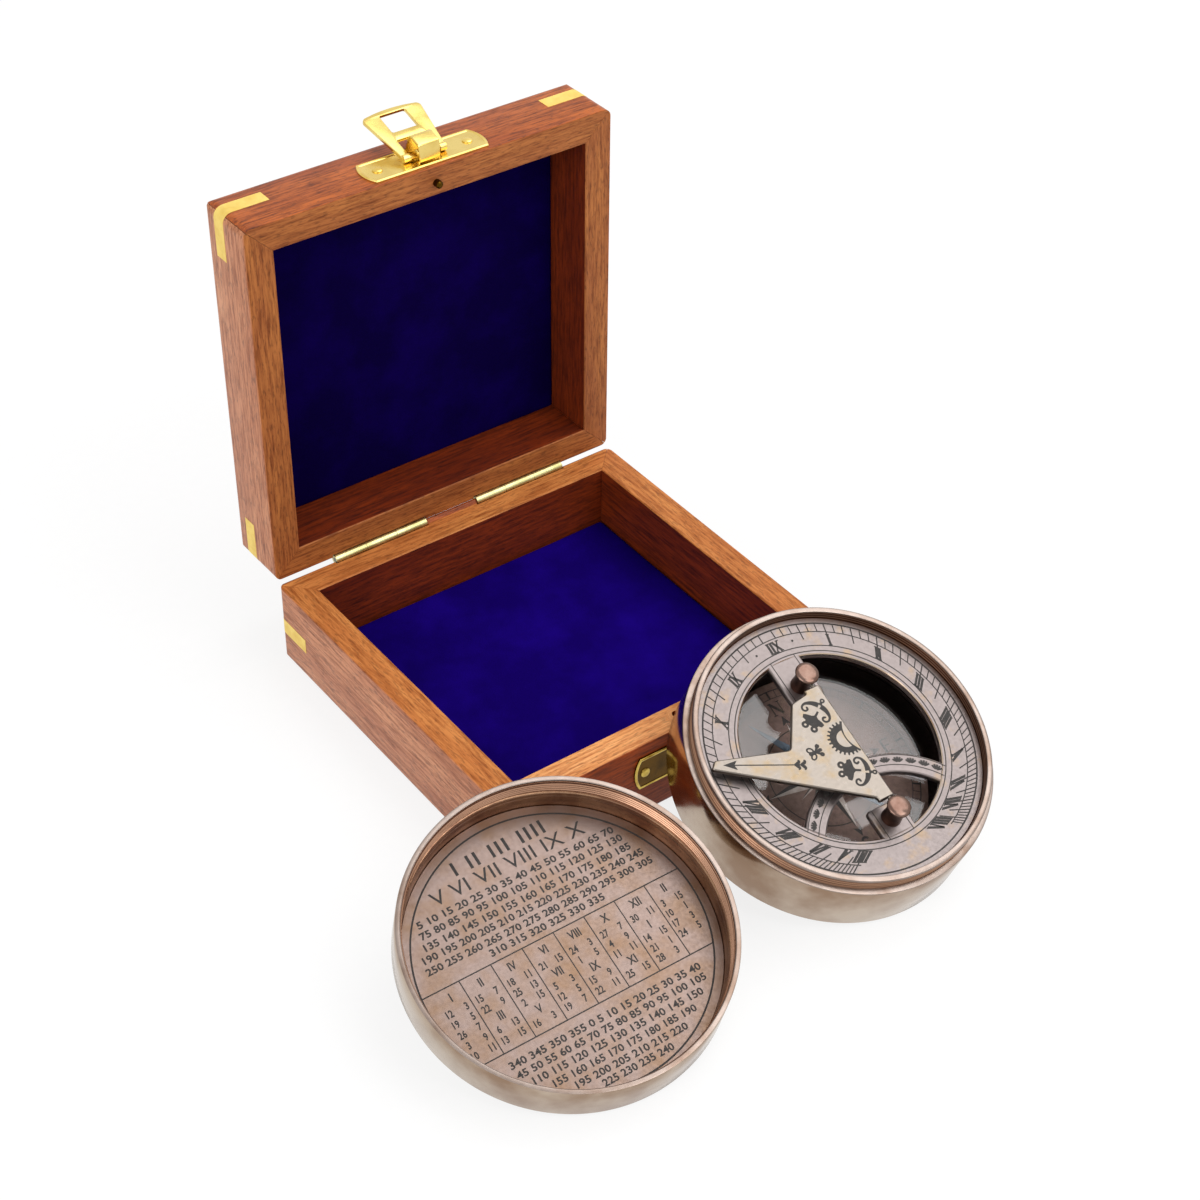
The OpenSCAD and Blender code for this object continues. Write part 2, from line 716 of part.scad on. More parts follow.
module compass_case() {
    root_r = neck_r - thread_depth;
    lip_h = 0.8;
    color(bronze) on_compass() rotate_extrude() polygon(concat(
        [[0, -case_depth], [case_r - edge_round, -case_depth], [case_r, edge_round - case_depth],
         [case_r, -shoulder_depth - 0.2], [case_r - 0.2, -shoulder_depth], [root_r, -shoulder_depth]],
        thread(-shoulder_depth + 0.1, rim_h - lip_h, root_r, neck_r),
        [[root_r, rim_h - lip_h], [neck_r, rim_h - lip_h], [neck_r, rim_h - 0.2], [neck_r - 0.2, rim_h],
         [bore_r + 0.2, rim_h], [bore_r, rim_h - 0.2], [bore_r, chamber_floor], [0, chamber_floor]]));
}

module compass_bowl() {
    color(dark_bronze) on_compass() rotate_extrude() polygon([
        [ledge_r, chamber_floor], [bowl_out_r, chamber_floor], [bowl_out_r, -dial_t - flange_t],
        [bore_r - seat_clear, -dial_t - flange_t], [bore_r - seat_clear, -dial_t], [bowl_in_r, -dial_t],
        [bowl_in_r, glass_bottom], [ledge_r, glass_bottom]]);
}

// Arm along the noon line from distance a to the ring, rounded at its inner end
module arm(a) {
    polygon(rounded([[-arm_w/2, a, 1.2], [arm_w/2, a, 1.2], [arm_w/2, dial_hole_r + cut, 0],
                     [-arm_w/2, dial_hole_r + cut, 0]]));
}

module dial_plate() {
    color(bronze) on_compass() translate([0, 0, -dial_t]) linear_extrude(dial_t) difference() {
        circle(r = bore_r - seat_clear);
        difference() {
            circle(r = dial_hole_r);
            arm(arm_north);
            rotate(180) arm(arm_south);
            translate([0, -band_centre]) difference() {
                circle(r = band_out_r);
                circle(r = band_in_r);
            }
        }
        for (y = [post_north_y, -post_south_y]) translate([0, y]) circle(r = post_neck_r);
    }
}

// Round-headed post, its side hole turned towards the gnomon by s
module post(y, s) {
    head_r = post_head_d/2;
    dome_r = (head_r*head_r + post_head_h*post_head_h/4)/post_head_h;
    color("#a8786a") on_compass() translate([0, y, 0]) difference() {
        union() {
            cylinder(d = post_d, h = post_h - post_head_h);
            translate([0, 0, -dial_t - nut_t - 0.3]) cylinder(r = post_neck_r, h = dial_t + nut_t + 1);
            intersection() {
                translate([0, 0, post_h - post_head_h]) cylinder(r = head_r, h = post_head_h);
                translate([0, 0, post_h - dome_r]) sphere(r = dome_r);
            }
        }
        translate([0, 0, gnomon_axis_h]) rotate([s*-90, 0, 0])
            translate([0, 0, post_d/2 - pivot_len])
                cylinder(d = pivot_d + 2*pin_clear, h = pivot_len + cut);
    }
}

module post_north() { post(post_north_y, -1); }
module post_south() { post(-post_south_y, 1); }

module post_nuts() {
    color(pale_brass) on_compass() for (y = [post_north_y, -post_south_y])
        translate([0, y, -dial_t - nut_t]) difference() {
            cylinder(d = nut_across/cos(30), h = nut_t, $fn = 6);
            translate([0, 0, -cut]) cylinder(r = post_neck_r, h = nut_t + 2*cut);
        }
}

module compass_card() {
    color("#4d3a33") on_compass() translate([0, 0, chamber_floor]) cylinder(r = card_r, h = card_t);
}

module needle_pivot() {
    tip = socket_z - pin_clear;
    color("silver") on_compass() rotate_extrude() polygon([
        [0, card_top], [2, card_top], [2, card_top + 0.4], [needle_pin_d/2, card_top + 0.7],
        [needle_pin_d/2, tip - 0.2], [needle_pin_d/4, tip], [0, tip]]);
}

module compass_glass() {
    color([0.8, 0.9, 0.9, 0.3]) on_compass() translate([0, 0, glass_bottom])
        cylinder(r = glass_r, h = glass_t);
}

module glass_ring() {
    color(dark_bronze) on_compass() translate([0, 0, glass_top]) difference() {
        cylinder(r = bowl_in_r, h = keeper_t);
        translate([0, 0, -cut]) cylinder(r = bowl_in_r - keeper_w, h = keeper_t + 2*cut);
    }
}

// Folding plate with the slanting style edge, and its two pivots
module gnomon() {
    color("#c9bba5") on_gnomon() {
        translate([0, 0, -gnomon_t/2]) linear_extrude(gnomon_t) polygon(rounded([
            [gnomon_heel, gnomon_south, 0.2], [gnomon_heel, gnomon_north, 0.2],
            [-gnomon_neck, gnomon_north, 0.4], [-gnomon_neck, gnomon_north - 0.9, 0.4],
            [-shoulder[0], gnomon_north - shoulder[1], 0.8], [-notch[0], notch[1], 1],
            [-gnomon_reach + 1.7, gnomon_tip_y + 1.7, 0.8], [-gnomon_reach, gnomon_tip_y, 0.5],
            [-gnomon_neck, gnomon_south + 1.1, 0.8], [-gnomon_neck, gnomon_south, 0.4]]));
        translate([0, gnomon_south - pivot_out - pivot_len + pin_clear, 0]) rotate([-90, 0, 0])
            cylinder(d = pivot_d, h = gnomon_north - gnomon_south + 2*(pivot_out + pivot_len - pin_clear));
    }
}

module needle() {
    color("#3b4148") on_compass() translate([0, 0, needle_z])
        rotate([0, 0, needle_bearing]) linear_extrude(needle_t) difference() {
            polygon([[0, needle_len/2], [needle_w/2, 0], [0, -needle_len/2], [-needle_w/2, 0]]);
            circle(d = cap_neck_d);
        }
}

module needle_cap() {
    top = needle_z + needle_t;
    color(brass) on_compass() rotate_extrude() polygon([
        [needle_pin_d/2 + pin_clear, needle_z - cap_neck_h], [cap_neck_d/2, needle_z - cap_neck_h],
        [cap_neck_d/2, top], [cap_d/2, top], [cap_d/2 - 0.5, top + cap_dome_h*0.7], [0.6, top + cap_dome_h],
        [0, top + cap_dome_h], [0, socket_z], [needle_pin_d/2 + pin_clear, socket_z]]);
}

module screw_lid_shell() {
    root_r = cover_bore_r - 0.05;
    crest_r = root_r - thread_depth;
    thread_from = -4.6;
    color(bronze) on_cover() rotate_extrude() polygon(concat(
        [[0, -cover_h], [cover_r - edge_round, -cover_h], [cover_r, edge_round - cover_h],
         [cover_r, -cover_chamfer], [cover_r - cover_chamfer, 0], [cover_bore_r, 0], [cover_bore_r, -0.6]],
        [for (p = thread(thread_from, -0.6, root_r, crest_r)) [p[0], thread_from - 0.6 - p[1]]],
        [[crest_r, thread_from - 0.2], [crest_r, thread_from - 1.4], [crest_r - 0.2, thread_from - 1.6],
         [disc_r, thread_from - 3], [disc_r, -plate_depth - disc_t], [0, -plate_depth - disc_t]]));
}

module lid_table_plate() {
    color("#a98e7e") on_cover() translate([0, 0, -plate_depth - disc_t])
        cylinder(r = disc_r - seat_clear, h = disc_t);
}

base_wall_front();
base_wall_back();
base_wall_left();
base_wall_right();
base_floor();
base_velvet();
base_corner_keys();
base_hinge_leaves();
hinge_pins();
base_hinge_nails();
catch_plate();
catch_nails();
lid_wall_front();
lid_wall_back();
lid_wall_left();
lid_wall_right();
lid_panel();
lid_velvet();
lid_corner_keys();
lid_hinge_leaves();
lid_hinge_nails();
latch_plate();
latch_nails();
locating_pin();
hasp();
compass_case();
compass_bowl();
dial_plate();
post_north();
post_south();
post_nuts();
compass_card();
needle_pivot();
compass_glass();
glass_ring();
gnomon();
needle();
needle_cap();
screw_lid_shell();
lid_table_plate();
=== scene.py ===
"""Pocket sundial compass with its screw lid and its fitted wooden box.

Each piece is drawn in millimetres in a frame of its own and set in metres by piece().
"""
import json
from math import acos, asin, atan2, cos, degrees, hypot, pi, radians, sin, sqrt, tan
import bmesh
import bpy
import numpy as np
from mathutils import Matrix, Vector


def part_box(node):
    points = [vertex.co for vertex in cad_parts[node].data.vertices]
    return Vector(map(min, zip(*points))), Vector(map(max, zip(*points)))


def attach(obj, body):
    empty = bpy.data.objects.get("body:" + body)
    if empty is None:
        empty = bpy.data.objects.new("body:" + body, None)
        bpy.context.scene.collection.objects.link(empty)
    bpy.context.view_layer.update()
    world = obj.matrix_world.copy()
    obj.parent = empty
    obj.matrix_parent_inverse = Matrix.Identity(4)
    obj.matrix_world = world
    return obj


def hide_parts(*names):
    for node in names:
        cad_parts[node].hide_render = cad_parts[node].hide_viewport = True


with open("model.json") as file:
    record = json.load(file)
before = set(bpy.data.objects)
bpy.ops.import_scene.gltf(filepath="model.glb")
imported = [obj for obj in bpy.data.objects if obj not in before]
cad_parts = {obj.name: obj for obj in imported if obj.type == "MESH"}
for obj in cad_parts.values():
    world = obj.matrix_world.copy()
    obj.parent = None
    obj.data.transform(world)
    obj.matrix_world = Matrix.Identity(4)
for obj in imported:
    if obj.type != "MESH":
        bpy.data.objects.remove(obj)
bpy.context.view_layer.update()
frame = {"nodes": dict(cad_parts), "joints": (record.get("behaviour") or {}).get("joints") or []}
joints = {joint["name"]: joint for joint in frame["joints"]}


# Sizes in millimetres, first of the box with its corner keys and hinges
box_w, box_d, base_h, lid_h, wall_t = 104.0, 101.0, 23.0, 17.9, 7.6
corner_r, edge_r, hinge_edge_r, rim_gap = 2.5, 2.0, 0.5, 0.3
floor_t, base_pad_t, panel_t, lid_pad_t = 3.2, 3.3, 2.3, 1.2
key_leg, key_t, key_z, key_proud = 12.5, 4.3, 11.2, 0.05
hinges, barrel_len, barrel_r, barrel_bore, pin_out = (-21.0, 22.4), 27.6, 1.35, 0.64, 0.45
leaf_top, leaf_h, leaf_t, notch_r, notch_past = 1.65, 8.0, 0.8, 1.5, 0.3
# Plates, nails, hasp and peg
latch_x, latch_z, catch_z, nail_half = 0.4, 5.7, 14.5, 12.7
latch_w, catch_w, plate_h, plate_t = 34.2, 31.4, 9.6, 0.4
hasp_z, hasp_out, hasp_len, slot_half, slot_to = 5.0, 1.5, 16.1, 4.1, 5.76
window_low, window_high, window_half = 8.4, 14.6, 3.6
peg_in, peg_r = 4.3, 1.0
# Case, with heights from the dial's face, and screw lid, with heights from its rim
case_r, neck_r, bore_r, neck_top, case_low, case_inside = 37.6, 36.1, 34.7, 2.6, -16.4, -15.4
bowl_out, bowl_in, glass_r = 28.55, 26.65, 27.5
axis_h, slope = 4.2, 3.5
glass_z, card_z, needle_z, needle_bearing = -5.6, -15.0, -12.9, 30.0
lid_low, lid_inside, lid_over, thread_pitch = -11.6, -10.8, 2.15, 0.8
cover_heading, plate_z, plate_turn = 13.5, -10.3, 10.6
# Dial: ring and arms, curved band, radii of circles and hour lines, numerals, and the hour lines' foot
dial_r, hole_r, dial_t, noon_arm, south_arm, arm_half = 34.65, 24.5, 1.5, 13.2, 17.0, 4.65
band_back, band_out, band_in = 30.8, 26.1, 21.1
scale_out, scale_in, hour_in, half_in, inner_lines = 33.1, 30.8, 27.6, 28.8, (26.95, 25.5)
numeral_r, numeral_h, numeral_w = 28.65, 2.85, 0.6
foot_u, foot_v = -20.0, 1.85
# Ruled circle, columns, rules and height of the figures on the lid's plate
ruled_r, column_w, ruled_top, ruled_low, figure_h = 33.5, 8, 4.5, -14.6, 1.85
# How deep a filled cut goes, and the heights of the fillings' tops on dial, gnomon, lid plate and card
cut_deep, dial_top, blade_top, plate_top, card_top = 0.05, 0.02, 0.62, plate_z + 0.02, card_z + 0.02
cover_tilt = degrees(asin(base_h/(2*case_r - lid_over)))


# Frames
def shift(x, y, z):
    """Frame moved by x, y, z."""
    m = np.eye(4)
    m[:3, 3] = x, y, z
    return m


def turn(axis, angle):
    """Frame turned about its X, Y or Z axis by an angle in degrees."""
    return np.array(Matrix.Rotation(radians(angle), 4, axis))


def axes(origin, x, y, z):
    """Frame with the given origin and directions."""
    m = np.eye(4)
    m[:3] = np.array([x, y, z, origin], float).T
    return m


def joint_at(name):
    """A joint's place, in millimetres."""
    return np.array(joints[name]["pos_m"])*1000


pin_y, pin_z = joint_at("box_lid_hinge")[1:]
front_y, back_y = -box_d/2, box_d/2
BASE = np.eye(4)
LID = (shift(0, pin_y, pin_z) @ turn("X", -joints["box_lid_hinge"]["range_deg"][1])
       @ shift(0, -pin_y, rim_gap/2))
to_noon = np.array(joints["gnomon_fold"]["axis"])
out_of_dial = np.array(joints["needle_turn"]["axis"])
COMPASS = axes(joint_at("gnomon_fold") - axis_h*out_of_dial, np.cross(to_noon, out_of_dial), to_noon,
               out_of_dial)
GNOMON = COMPASS @ shift(0, 0, axis_h) @ turn("Y", -slope)
plate_box = np.array([list(corner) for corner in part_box("lid_table_plate")])*1000
COVER = turn("Z", -cover_heading) @ turn("X", cover_tilt)
COVER[:3, 3] = plate_box.mean(0) - COVER[:3, 2]*(plate_z - 0.25)
LATCH = LID @ shift(latch_x, front_y, latch_z) @ turn("X", 90)
CATCH = shift(latch_x, front_y, catch_z) @ turn("X", 90)
hasp_lift = -joints["hasp_swing"]["range_deg"][0]
HASP = LID @ shift(latch_x, front_y - hasp_out, hasp_z) @ turn("X", 90 + hasp_lift)
ACROSS = axes((0, 0, 0), (0, 1, 0), (0, 0, 1), (1, 0, 0))


def unit(v):
    """Vectors scaled to length 1."""
    return v/np.linalg.norm(v, axis=-1, keepdims=True)


def facing(angle):
    """The direction at an angle in degrees, and the one a quarter turn to its left."""
    x, y = cos(radians(angle)), sin(radians(angle))
    return np.array([x, y]), np.array([-y, x])


# Shapes
def rounded(corners, steps=6):
    """Closed outline of (x, y, r) corners, each replaced by an arc of radius r between its two sides."""
    c = np.array([corner[:2] for corner in corners], float)
    out = []
    for k, (_, _, r) in enumerate(corners):
        if r <= 0:
            out.append(c[k])
            continue
        a, b = unit(c[k - 1] - c[k]), unit(c[(k + 1) % len(c)] - c[k])
        half = acos(float(np.clip(a @ b, -1, 1)))/2
        m = c[k] + unit(a + b)*r/sin(half)
        s, e = c[k] + a*r/tan(half) - m, c[k] + b*r/tan(half) - m
        sweep = (atan2(e[1], e[0]) - atan2(s[1], s[0]) + pi) % (2*pi) - pi
        angle = atan2(s[1], s[0]) + sweep*np.linspace(0, 1, steps + 1)
        out += list(m + r*np.c_[np.cos(angle), np.sin(angle)])
    return np.array(out)


def inset(outline, d):
    """Closed outline moved inwards by d: each corner goes along the sum of its two sides' normals."""
    side = unit(np.roll(outline, -1, 0) - outline)
    area = (outline[:, 0]*np.roll(outline[:, 1], -1) - np.roll(outline[:, 0], -1)*outline[:, 1]).sum()
    normal = np.c_[-side[:, 1], side[:, 0]]*np.sign(area)
    both = normal + np.roll(normal, 1, 0)
    return outline + d*both/(1 + (normal*np.roll(normal, 1, 0)).sum(1, keepdims=True))


def grid(p, round_i=False, round_j=False, ends=False, tones=None):
    """Surface through the points p[i, j]; a round direction joins its last row to its first, ends closes
    the first and the last row, and tones gives a finish for each step of j."""
    n, m = p.shape[:2]
    i, j = np.meshgrid(np.arange(n if round_i else n - 1), np.arange(m if round_j else m - 1), indexing="ij")
    a, b = (i + 1) % n, (j + 1) % m
    faces = np.stack([i*m + j, a*m + j, a*m + b, i*m + b], -1).reshape(-1, 4).tolist()
    finish = (np.zeros(j.shape, int) if tones is None else np.asarray(tones)[j]).ravel().tolist()
    if ends:
        faces += [list(range(m)), list(range((n - 1)*m, n*m))]
        finish += [0, 0]
    return p.reshape(-1, 3), faces, finish


def lathe(profile, turns, thread=0.0, tones=None):
    """Profile of (radius, height[, thread share]) turned about Z: x = r cos a, y = r sin a. A profile that
    starts off the axis is joined to its own start, as for a ring. Where the share is above 0 the radius
    loses share*thread*(1 + cos(2 pi z/pitch - a))/2, a helical thread."""
    profile = np.array([tuple(p) + (0.0,)*(3 - len(p)) for p in profile], float)
    if profile[0, 0] > 0:
        profile = np.vstack([profile, profile[:1]])
    a = np.linspace(0, 2*pi, turns, endpoint=False)[:, None]
    r, z, share = profile.T
    r = r - share*thread*(1 + np.cos(2*pi*z/thread_pitch - a))/2
    p = np.stack([r*np.cos(a), r*np.sin(a), z + 0*a], -1)
    return grid(p, round_i=True, tones=tones)


def slab(outline, rows, tones=None):
    """Flat piece: its outline at each (inset, height) row, closed by its first and its last row; tones gives
    a finish for each step from row to row."""
    p = np.stack([np.c_[inset(outline, d), np.full(len(outline), float(z))] for d, z in rows])
    points, faces, finish = grid(p, round_j=True, ends=True)
    if tones is not None:
        finish = np.repeat(tones, len(outline)).tolist() + [tones[0], 0]
    return points, faces, finish


def eased(z0, z1, b):
    """Rows of a slab from z0 to z1 with both edges eased by b."""
    return [(b, z0), (0, z0 + b), (0, z1 - b), (0.3*b, z1 - 0.3*b), (b, z1)]


def from_curve(curve):
    """Points and faces of a flat curve or of a row of figures, which is used up."""
    holder = bpy.data.objects.new("outline", curve)
    mesh = bpy.data.meshes.new_from_object(holder)
    p = np.zeros(len(mesh.vertices)*3)
    mesh.vertices.foreach_get("co", p)
    faces = [list(f.vertices) for f in mesh.polygons]
    bpy.data.objects.remove(holder)
    bpy.data.curves.remove(curve)
    bpy.data.meshes.remove(mesh)
    return p.reshape(-1, 3), faces, [0]*len(faces)


def filled(outlines, z0, z1, b):
    """Flat piece from an outline and the outlines of its windows, edges rounded by b."""
    curve = bpy.data.curves.new("outline", "CURVE")
    curve.dimensions, curve.fill_mode = "2D", "BOTH"
    curve.extrude, curve.bevel_depth, curve.bevel_resolution, curve.offset = (z1 - z0)/2 - b, b, 2, -b
    for outline in outlines:
        spline = curve.splines.new("POLY")
        spline.points.add(len(outline) - 1)
        spline.points.foreach_set("co", np.c_[outline, np.tile((0.0, 1.0), (len(outline), 1))].ravel())
        spline.use_cyclic_u = True
    return moved(from_curve(curve), shift(0, 0, (z0 + z1)/2))


def stroke(path, width, z):
    """Cut line filled with black: the path with half its width to each side, its top at height z."""
    path = np.asarray(path, float)
    t = unit(np.gradient(path, axis=0))
    half = np.broadcast_to(np.asarray(width, float), len(path))[:, None]/2*np.c_[-t[:, 1], t[:, 0]]
    top, low = np.full((len(path), 1), z), np.full((len(path), 1), z - cut_deep)
    p = np.stack([np.c_[path + half, top], np.c_[path - half, top],
                  np.c_[path - half, low], np.c_[path + half, low]], 1)
    return grid(p, round_j=True, ends=True)


def patch(outline, z):
    """Filled shape of a cut, its top at height z."""
    return slab(np.asarray(outline, float), [(0, z - cut_deep), (0, z)])


def ring(r, width, z):
    """Cut circle of radius r, its top at height z."""
    a, b = r - width/2, r + width/2
    return lathe([(a, z - cut_deep), (b, z - cut_deep), (b, z), (a, z)], 180)


def tube(path, r):
    """Round rod: circles of radius r across the path's direction, its ends closed."""
    path = np.asarray(path, float)
    t = unit(np.gradient(path, axis=0))
    side = unit(np.cross(t, (0.0, 0.0, 1.0)))
    a = np.linspace(0, 2*pi, 12, endpoint=False)[:, None]
    p = path[:, None] + r*(np.cos(a)*side[:, None] + np.sin(a)*np.cross(side, t)[:, None])
    return grid(p, round_j=True, ends=True)


def arc(r, a0, a1, steps, centre=(0, 0)):
    """Points at radius r from angle a0 to a1 in degrees."""
    a = np.radians(np.linspace(a0, a1, steps))
    return np.c_[centre[0] + r*np.cos(a), centre[1] + r*np.sin(a)]


def moved(shape, m):
    """A shape carried by a frame."""
    p, faces, finish = shape
    return p @ m[:3, :3].T + m[:3, 3], faces, finish


def cleaned(mesh):
    """Merges doubled points and turns the faces outwards."""
    bm = bmesh.new()
    bm.from_mesh(mesh)
    bmesh.ops.remove_doubles(bm, verts=bm.verts, dist=2e-7)
    bmesh.ops.recalc_face_normals(bm, faces=bm.faces)
    bm.to_mesh(mesh)
    bm.free()


def placed(name, data):
    """New object in the scene."""
    made = bpy.data.objects.new(name, data)
    bpy.context.scene.collection.objects.link(made)
    return made


def bore(made, where, r, deep):
    """Cuts a round hole of radius r, its mouth at the frame's origin, into a piece."""
    points, faces, _ = moved(lathe([(0, -deep), (r, -deep), (r, 1), (0, 1)], 24), where)
    tool = bpy.data.meshes.new("bore")
    tool.from_pydata((points/1000).tolist(), [], faces)
    cleaned(tool)
    cutter = placed("bore", tool)
    cut = made.modifiers.new("bore", "BOOLEAN")
    cut.operation, cut.object, cut.solver = "DIFFERENCE", cutter, "EXACT"
    bpy.context.view_layer.update()
    seen = made.evaluated_get(bpy.context.evaluated_depsgraph_get())
    made.data = bpy.data.meshes.new_from_object(seen)
    made.modifiers.clear()
    bpy.data.objects.remove(cutter)
    bpy.data.meshes.remove(tool)


def piece(name, shapes, where, body, finishes, node="", crease=32, seed=0):
    """One object from shapes in millimetres in the frame `where`, riding on a body; a grain attribute keeps
    each point's own place in millimetres for finishes that follow the piece, moved along by the seed so that
    no two walls are cut from the same wood."""
    points, faces, tones, base = [], [], [], 0
    for p, f, finish in shapes:
        points.append(p)
        faces += [[k + base for k in face] for face in f]
        tones += finish
        base += len(p)
    points = np.vstack(points)
    mesh = bpy.data.meshes.new(name)
    mesh.from_pydata(((points @ where[:3, :3].T + where[:3, 3])/1000).tolist(), [], faces)
    mesh.polygons.foreach_set("material_index", tones)
    grain = mesh.attributes.new("grain", "FLOAT_VECTOR", "POINT")
    grain.data.foreach_set("vector", (points + (97.0*seed, 31.0*seed, 0)).ravel())
    cleaned(mesh)
    mesh.shade_smooth()
    mesh.set_sharp_from_angle(angle=radians(crease))
    for finish in finishes if isinstance(finishes, (list, tuple)) else [finishes]:
        mesh.materials.append(finish)
    made = placed(name, mesh)
    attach(made, body)
    if node:
        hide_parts(node)
    return made


# Finishes
def linear(code):
    """An sRGB hex code as linear red, green, blue and alpha."""
    c = np.array([int(code[k:k + 2], 16) for k in (1, 3, 5)])/255
    return (*np.where(c <= 0.04045, c/12.92, ((c + 0.055)/1.055)**2.4).tolist(), 1.0)


def add(tree, kind, inputs=None, **settings):
    """One node with its settings; inputs gives sockets by name or number, each a value or a link."""
    made = tree.nodes.new("ShaderNode" + kind)
    for key, value in settings.items():
        setattr(made, key, value)
    for key, value in (inputs or {}).items():
        if isinstance(value, bpy.types.NodeSocket):
            tree.links.new(value, made.inputs[key])
        else:
            made.inputs[key].default_value = value
    return made


def shader(name, grain=False):
    """An empty material, its nodes, and millimetre coordinates: the object's, or its grain's."""
    made = bpy.data.materials.new(name)
    made.use_nodes = True
    tree = made.node_tree
    tree.nodes.clear()
    if grain:
        return made, tree, add(tree, "Attribute", attribute_name="grain").outputs["Vector"]
    place = add(tree, "TexCoord").outputs["Object"]
    return made, tree, add(tree, "Mapping", {"Vector": place, "Scale": (1000, 1000, 1000)}).outputs[0]


def coated(made, tree, sockets, height=None, strength=0.0, deep=0.0):
    """Ends a material with its one surface, in relief `deep` millimetres high where a height is given."""
    if height:
        bump = add(tree, "Bump", {"Height": height, "Strength": strength, "Distance": deep/1000})
        sockets = {**sockets, "Normal": bump.outputs[0]}
    surface = add(tree, "BsdfPrincipled", sockets)
    add(tree, "OutputMaterial", {"Surface": surface.outputs[0]})
    return made


def cloud(tree, place, size, detail=3.0, stretch=(1, 1, 1), rough=0.55):
    """Soft irregular pattern, about `size` millimetres from one lump to the next, drawn out by stretch. Most
    of it lies between 0.3 and 0.7."""
    near = add(tree, "Mapping", {"Vector": place, "Scale": tuple(1/(size*s) for s in stretch)})
    return add(tree, "TexNoise", {"Vector": near.outputs[0], "Scale": 1.0, "Detail": detail,
                                  "Roughness": rough}).outputs["Fac"]


def blend(tree, amount, low, high, first, second):
    """First colour or number where the amount is under low, the second where it is over high."""
    ends = {"Value": amount, "From Min": low, "From Max": high}
    if isinstance(first, float):
        return add(tree, "MapRange", {**ends, "To Min": first, "To Max": second}).outputs[0]
    part = add(tree, "MapRange", ends).outputs[0]
    return add(tree, "Mix", {0: part, 6: first, 7: second}, data_type="RGBA").outputs[2]


def metal(name, tone, patina, rough, spots=5.0, spread=(0.42, 0.68), fine=0.8, dent=0.004, brushed=(1, 1, 1)):
    """Brass or bronze: a clean tone, a patina in blotches of `spots` mm, and fine marks that vary its gloss.
    Real rubbing marks are under 0.1 mm wide; they are drawn `fine` mm wide to show."""
    made, tree, place = shader(name)
    marks = cloud(tree, place, fine, 2.0, brushed)
    colour = blend(tree, cloud(tree, place, spots, 4.0), *spread, linear(tone), linear(patina))
    return coated(made, tree, {"Base Color": colour, "Metallic": 1.0,
                               "Roughness": blend(tree, marks, 0.3, 0.7, *rough)}, marks, 0.6, dent)


def threaded(name, low, high, rough):
    """Cut thread with painted light: brass with its low colour where cos(2 pi z/pitch - a) is -1 and its high
    colour where it is 1, z being the height and a the angle about the piece's own axis; the grooves take a
    painted shade and the crests a painted highlight. The pitch is the real one."""
    made, tree, place = shader(name, grain=True)
    part = add(tree, "SeparateXYZ", {0: place}).outputs
    angle = add(tree, "Math", {0: part["Y"], 1: part["X"]}, operation="ARCTAN2").outputs[0]
    rise = add(tree, "Math", {0: part["Z"], 1: 2*pi/thread_pitch}, operation="MULTIPLY").outputs[0]
    phase = add(tree, "Math", {0: rise, 1: angle}, operation="SUBTRACT").outputs[0]
    wave = add(tree, "Math", {0: phase}, operation="COSINE").outputs[0]
    return coated(made, tree, {"Base Color": blend(tree, wave, -0.6, 0.6, linear(low), linear(high)),
                               "Roughness": blend(tree, cloud(tree, place, 3.0), 0.3, 0.7, *rough),
                               "Metallic": 1.0})


def hardwood(name, light, mid, dark, rough, pore=0.5, fleck=(0.56, 0.66), figure=9.0):
    """Oiled rosewood-like hardwood: broad bands, fibres along the piece's length and short open pores. Real
    fibres and pores are 0.1 to 0.2 mm wide; they are drawn 0.8 and 0.42 mm wide to show."""
    made, tree, place = shader(name, grain=True)
    bands = cloud(tree, place, figure, 3.0, (6, 1, 1))
    fibre = cloud(tree, place, 0.8, 4.0, (12, 1, 1), 0.7)
    pores = blend(tree, cloud(tree, place, 0.42, 2.0, (5, 1, 1), 0.5), *fleck, 0.0, pore)
    colour = blend(tree, bands, 0.36, 0.64, linear(light), linear(mid))
    colour = blend(tree, fibre, 0.42, 0.66, colour, linear(dark))
    colour = blend(tree, pores, 0.0, 1.0, colour, linear("#2A0E06"))
    height = add(tree, "Math", {0: fibre, 1: pores}, operation="SUBTRACT").outputs[0]
    return coated(made, tree, {"Base Color": colour, "Specular IOR Level": 0.25,
                               "Roughness": blend(tree, fibre, 0.3, 0.7, rough - 0.05, rough + 0.08)},
                  height, 0.5, 0.04)


def velvet(name, deep, lit):
    """Cotton velvet: short pile that is dark seen from above, lighter where it was brushed or crushed. The
    real pile's tufts are about 0.15 mm wide; they are drawn 0.35 mm wide to show."""
    made, tree, place = shader(name)
    colour = blend(tree, cloud(tree, place, 14.0, 4.0), 0.42, 0.72, linear(deep), linear(lit))
    return coated(made, tree, {"Base Color": colour, "Roughness": 0.9, "Specular IOR Level": 0.02,
                               "Sheen Weight": 0.1, "Sheen Roughness": 0.4, "Sheen Tint": linear("#2408D8")},
                  cloud(tree, place, 0.35, 2.0), 0.7, 0.2)


def clear_glass():
    """Clear flat glass with a faint smear; light passes it unbent on its way to the card."""
    made, tree, place = shader("clear window glass")
    tint = blend(tree, cloud(tree, place, 8.0), 0.45, 0.8, linear("#FFFFFF"), linear("#F1F4F2"))
    glass = add(tree, "BsdfPrincipled", {"Base Color": tint, "Roughness": 0.0, "IOR": 1.43,
                                         "Transmission Weight": 1.0})
    shadow = add(tree, "LightPath").outputs["Is Shadow Ray"]
    through = add(tree, "BsdfTransparent")
    mix = add(tree, "MixShader", {0: shadow, 1: glass.outputs[0], 2: through.outputs[0]})
    add(tree, "OutputMaterial", {"Surface": mix.outputs[0]})
    return made


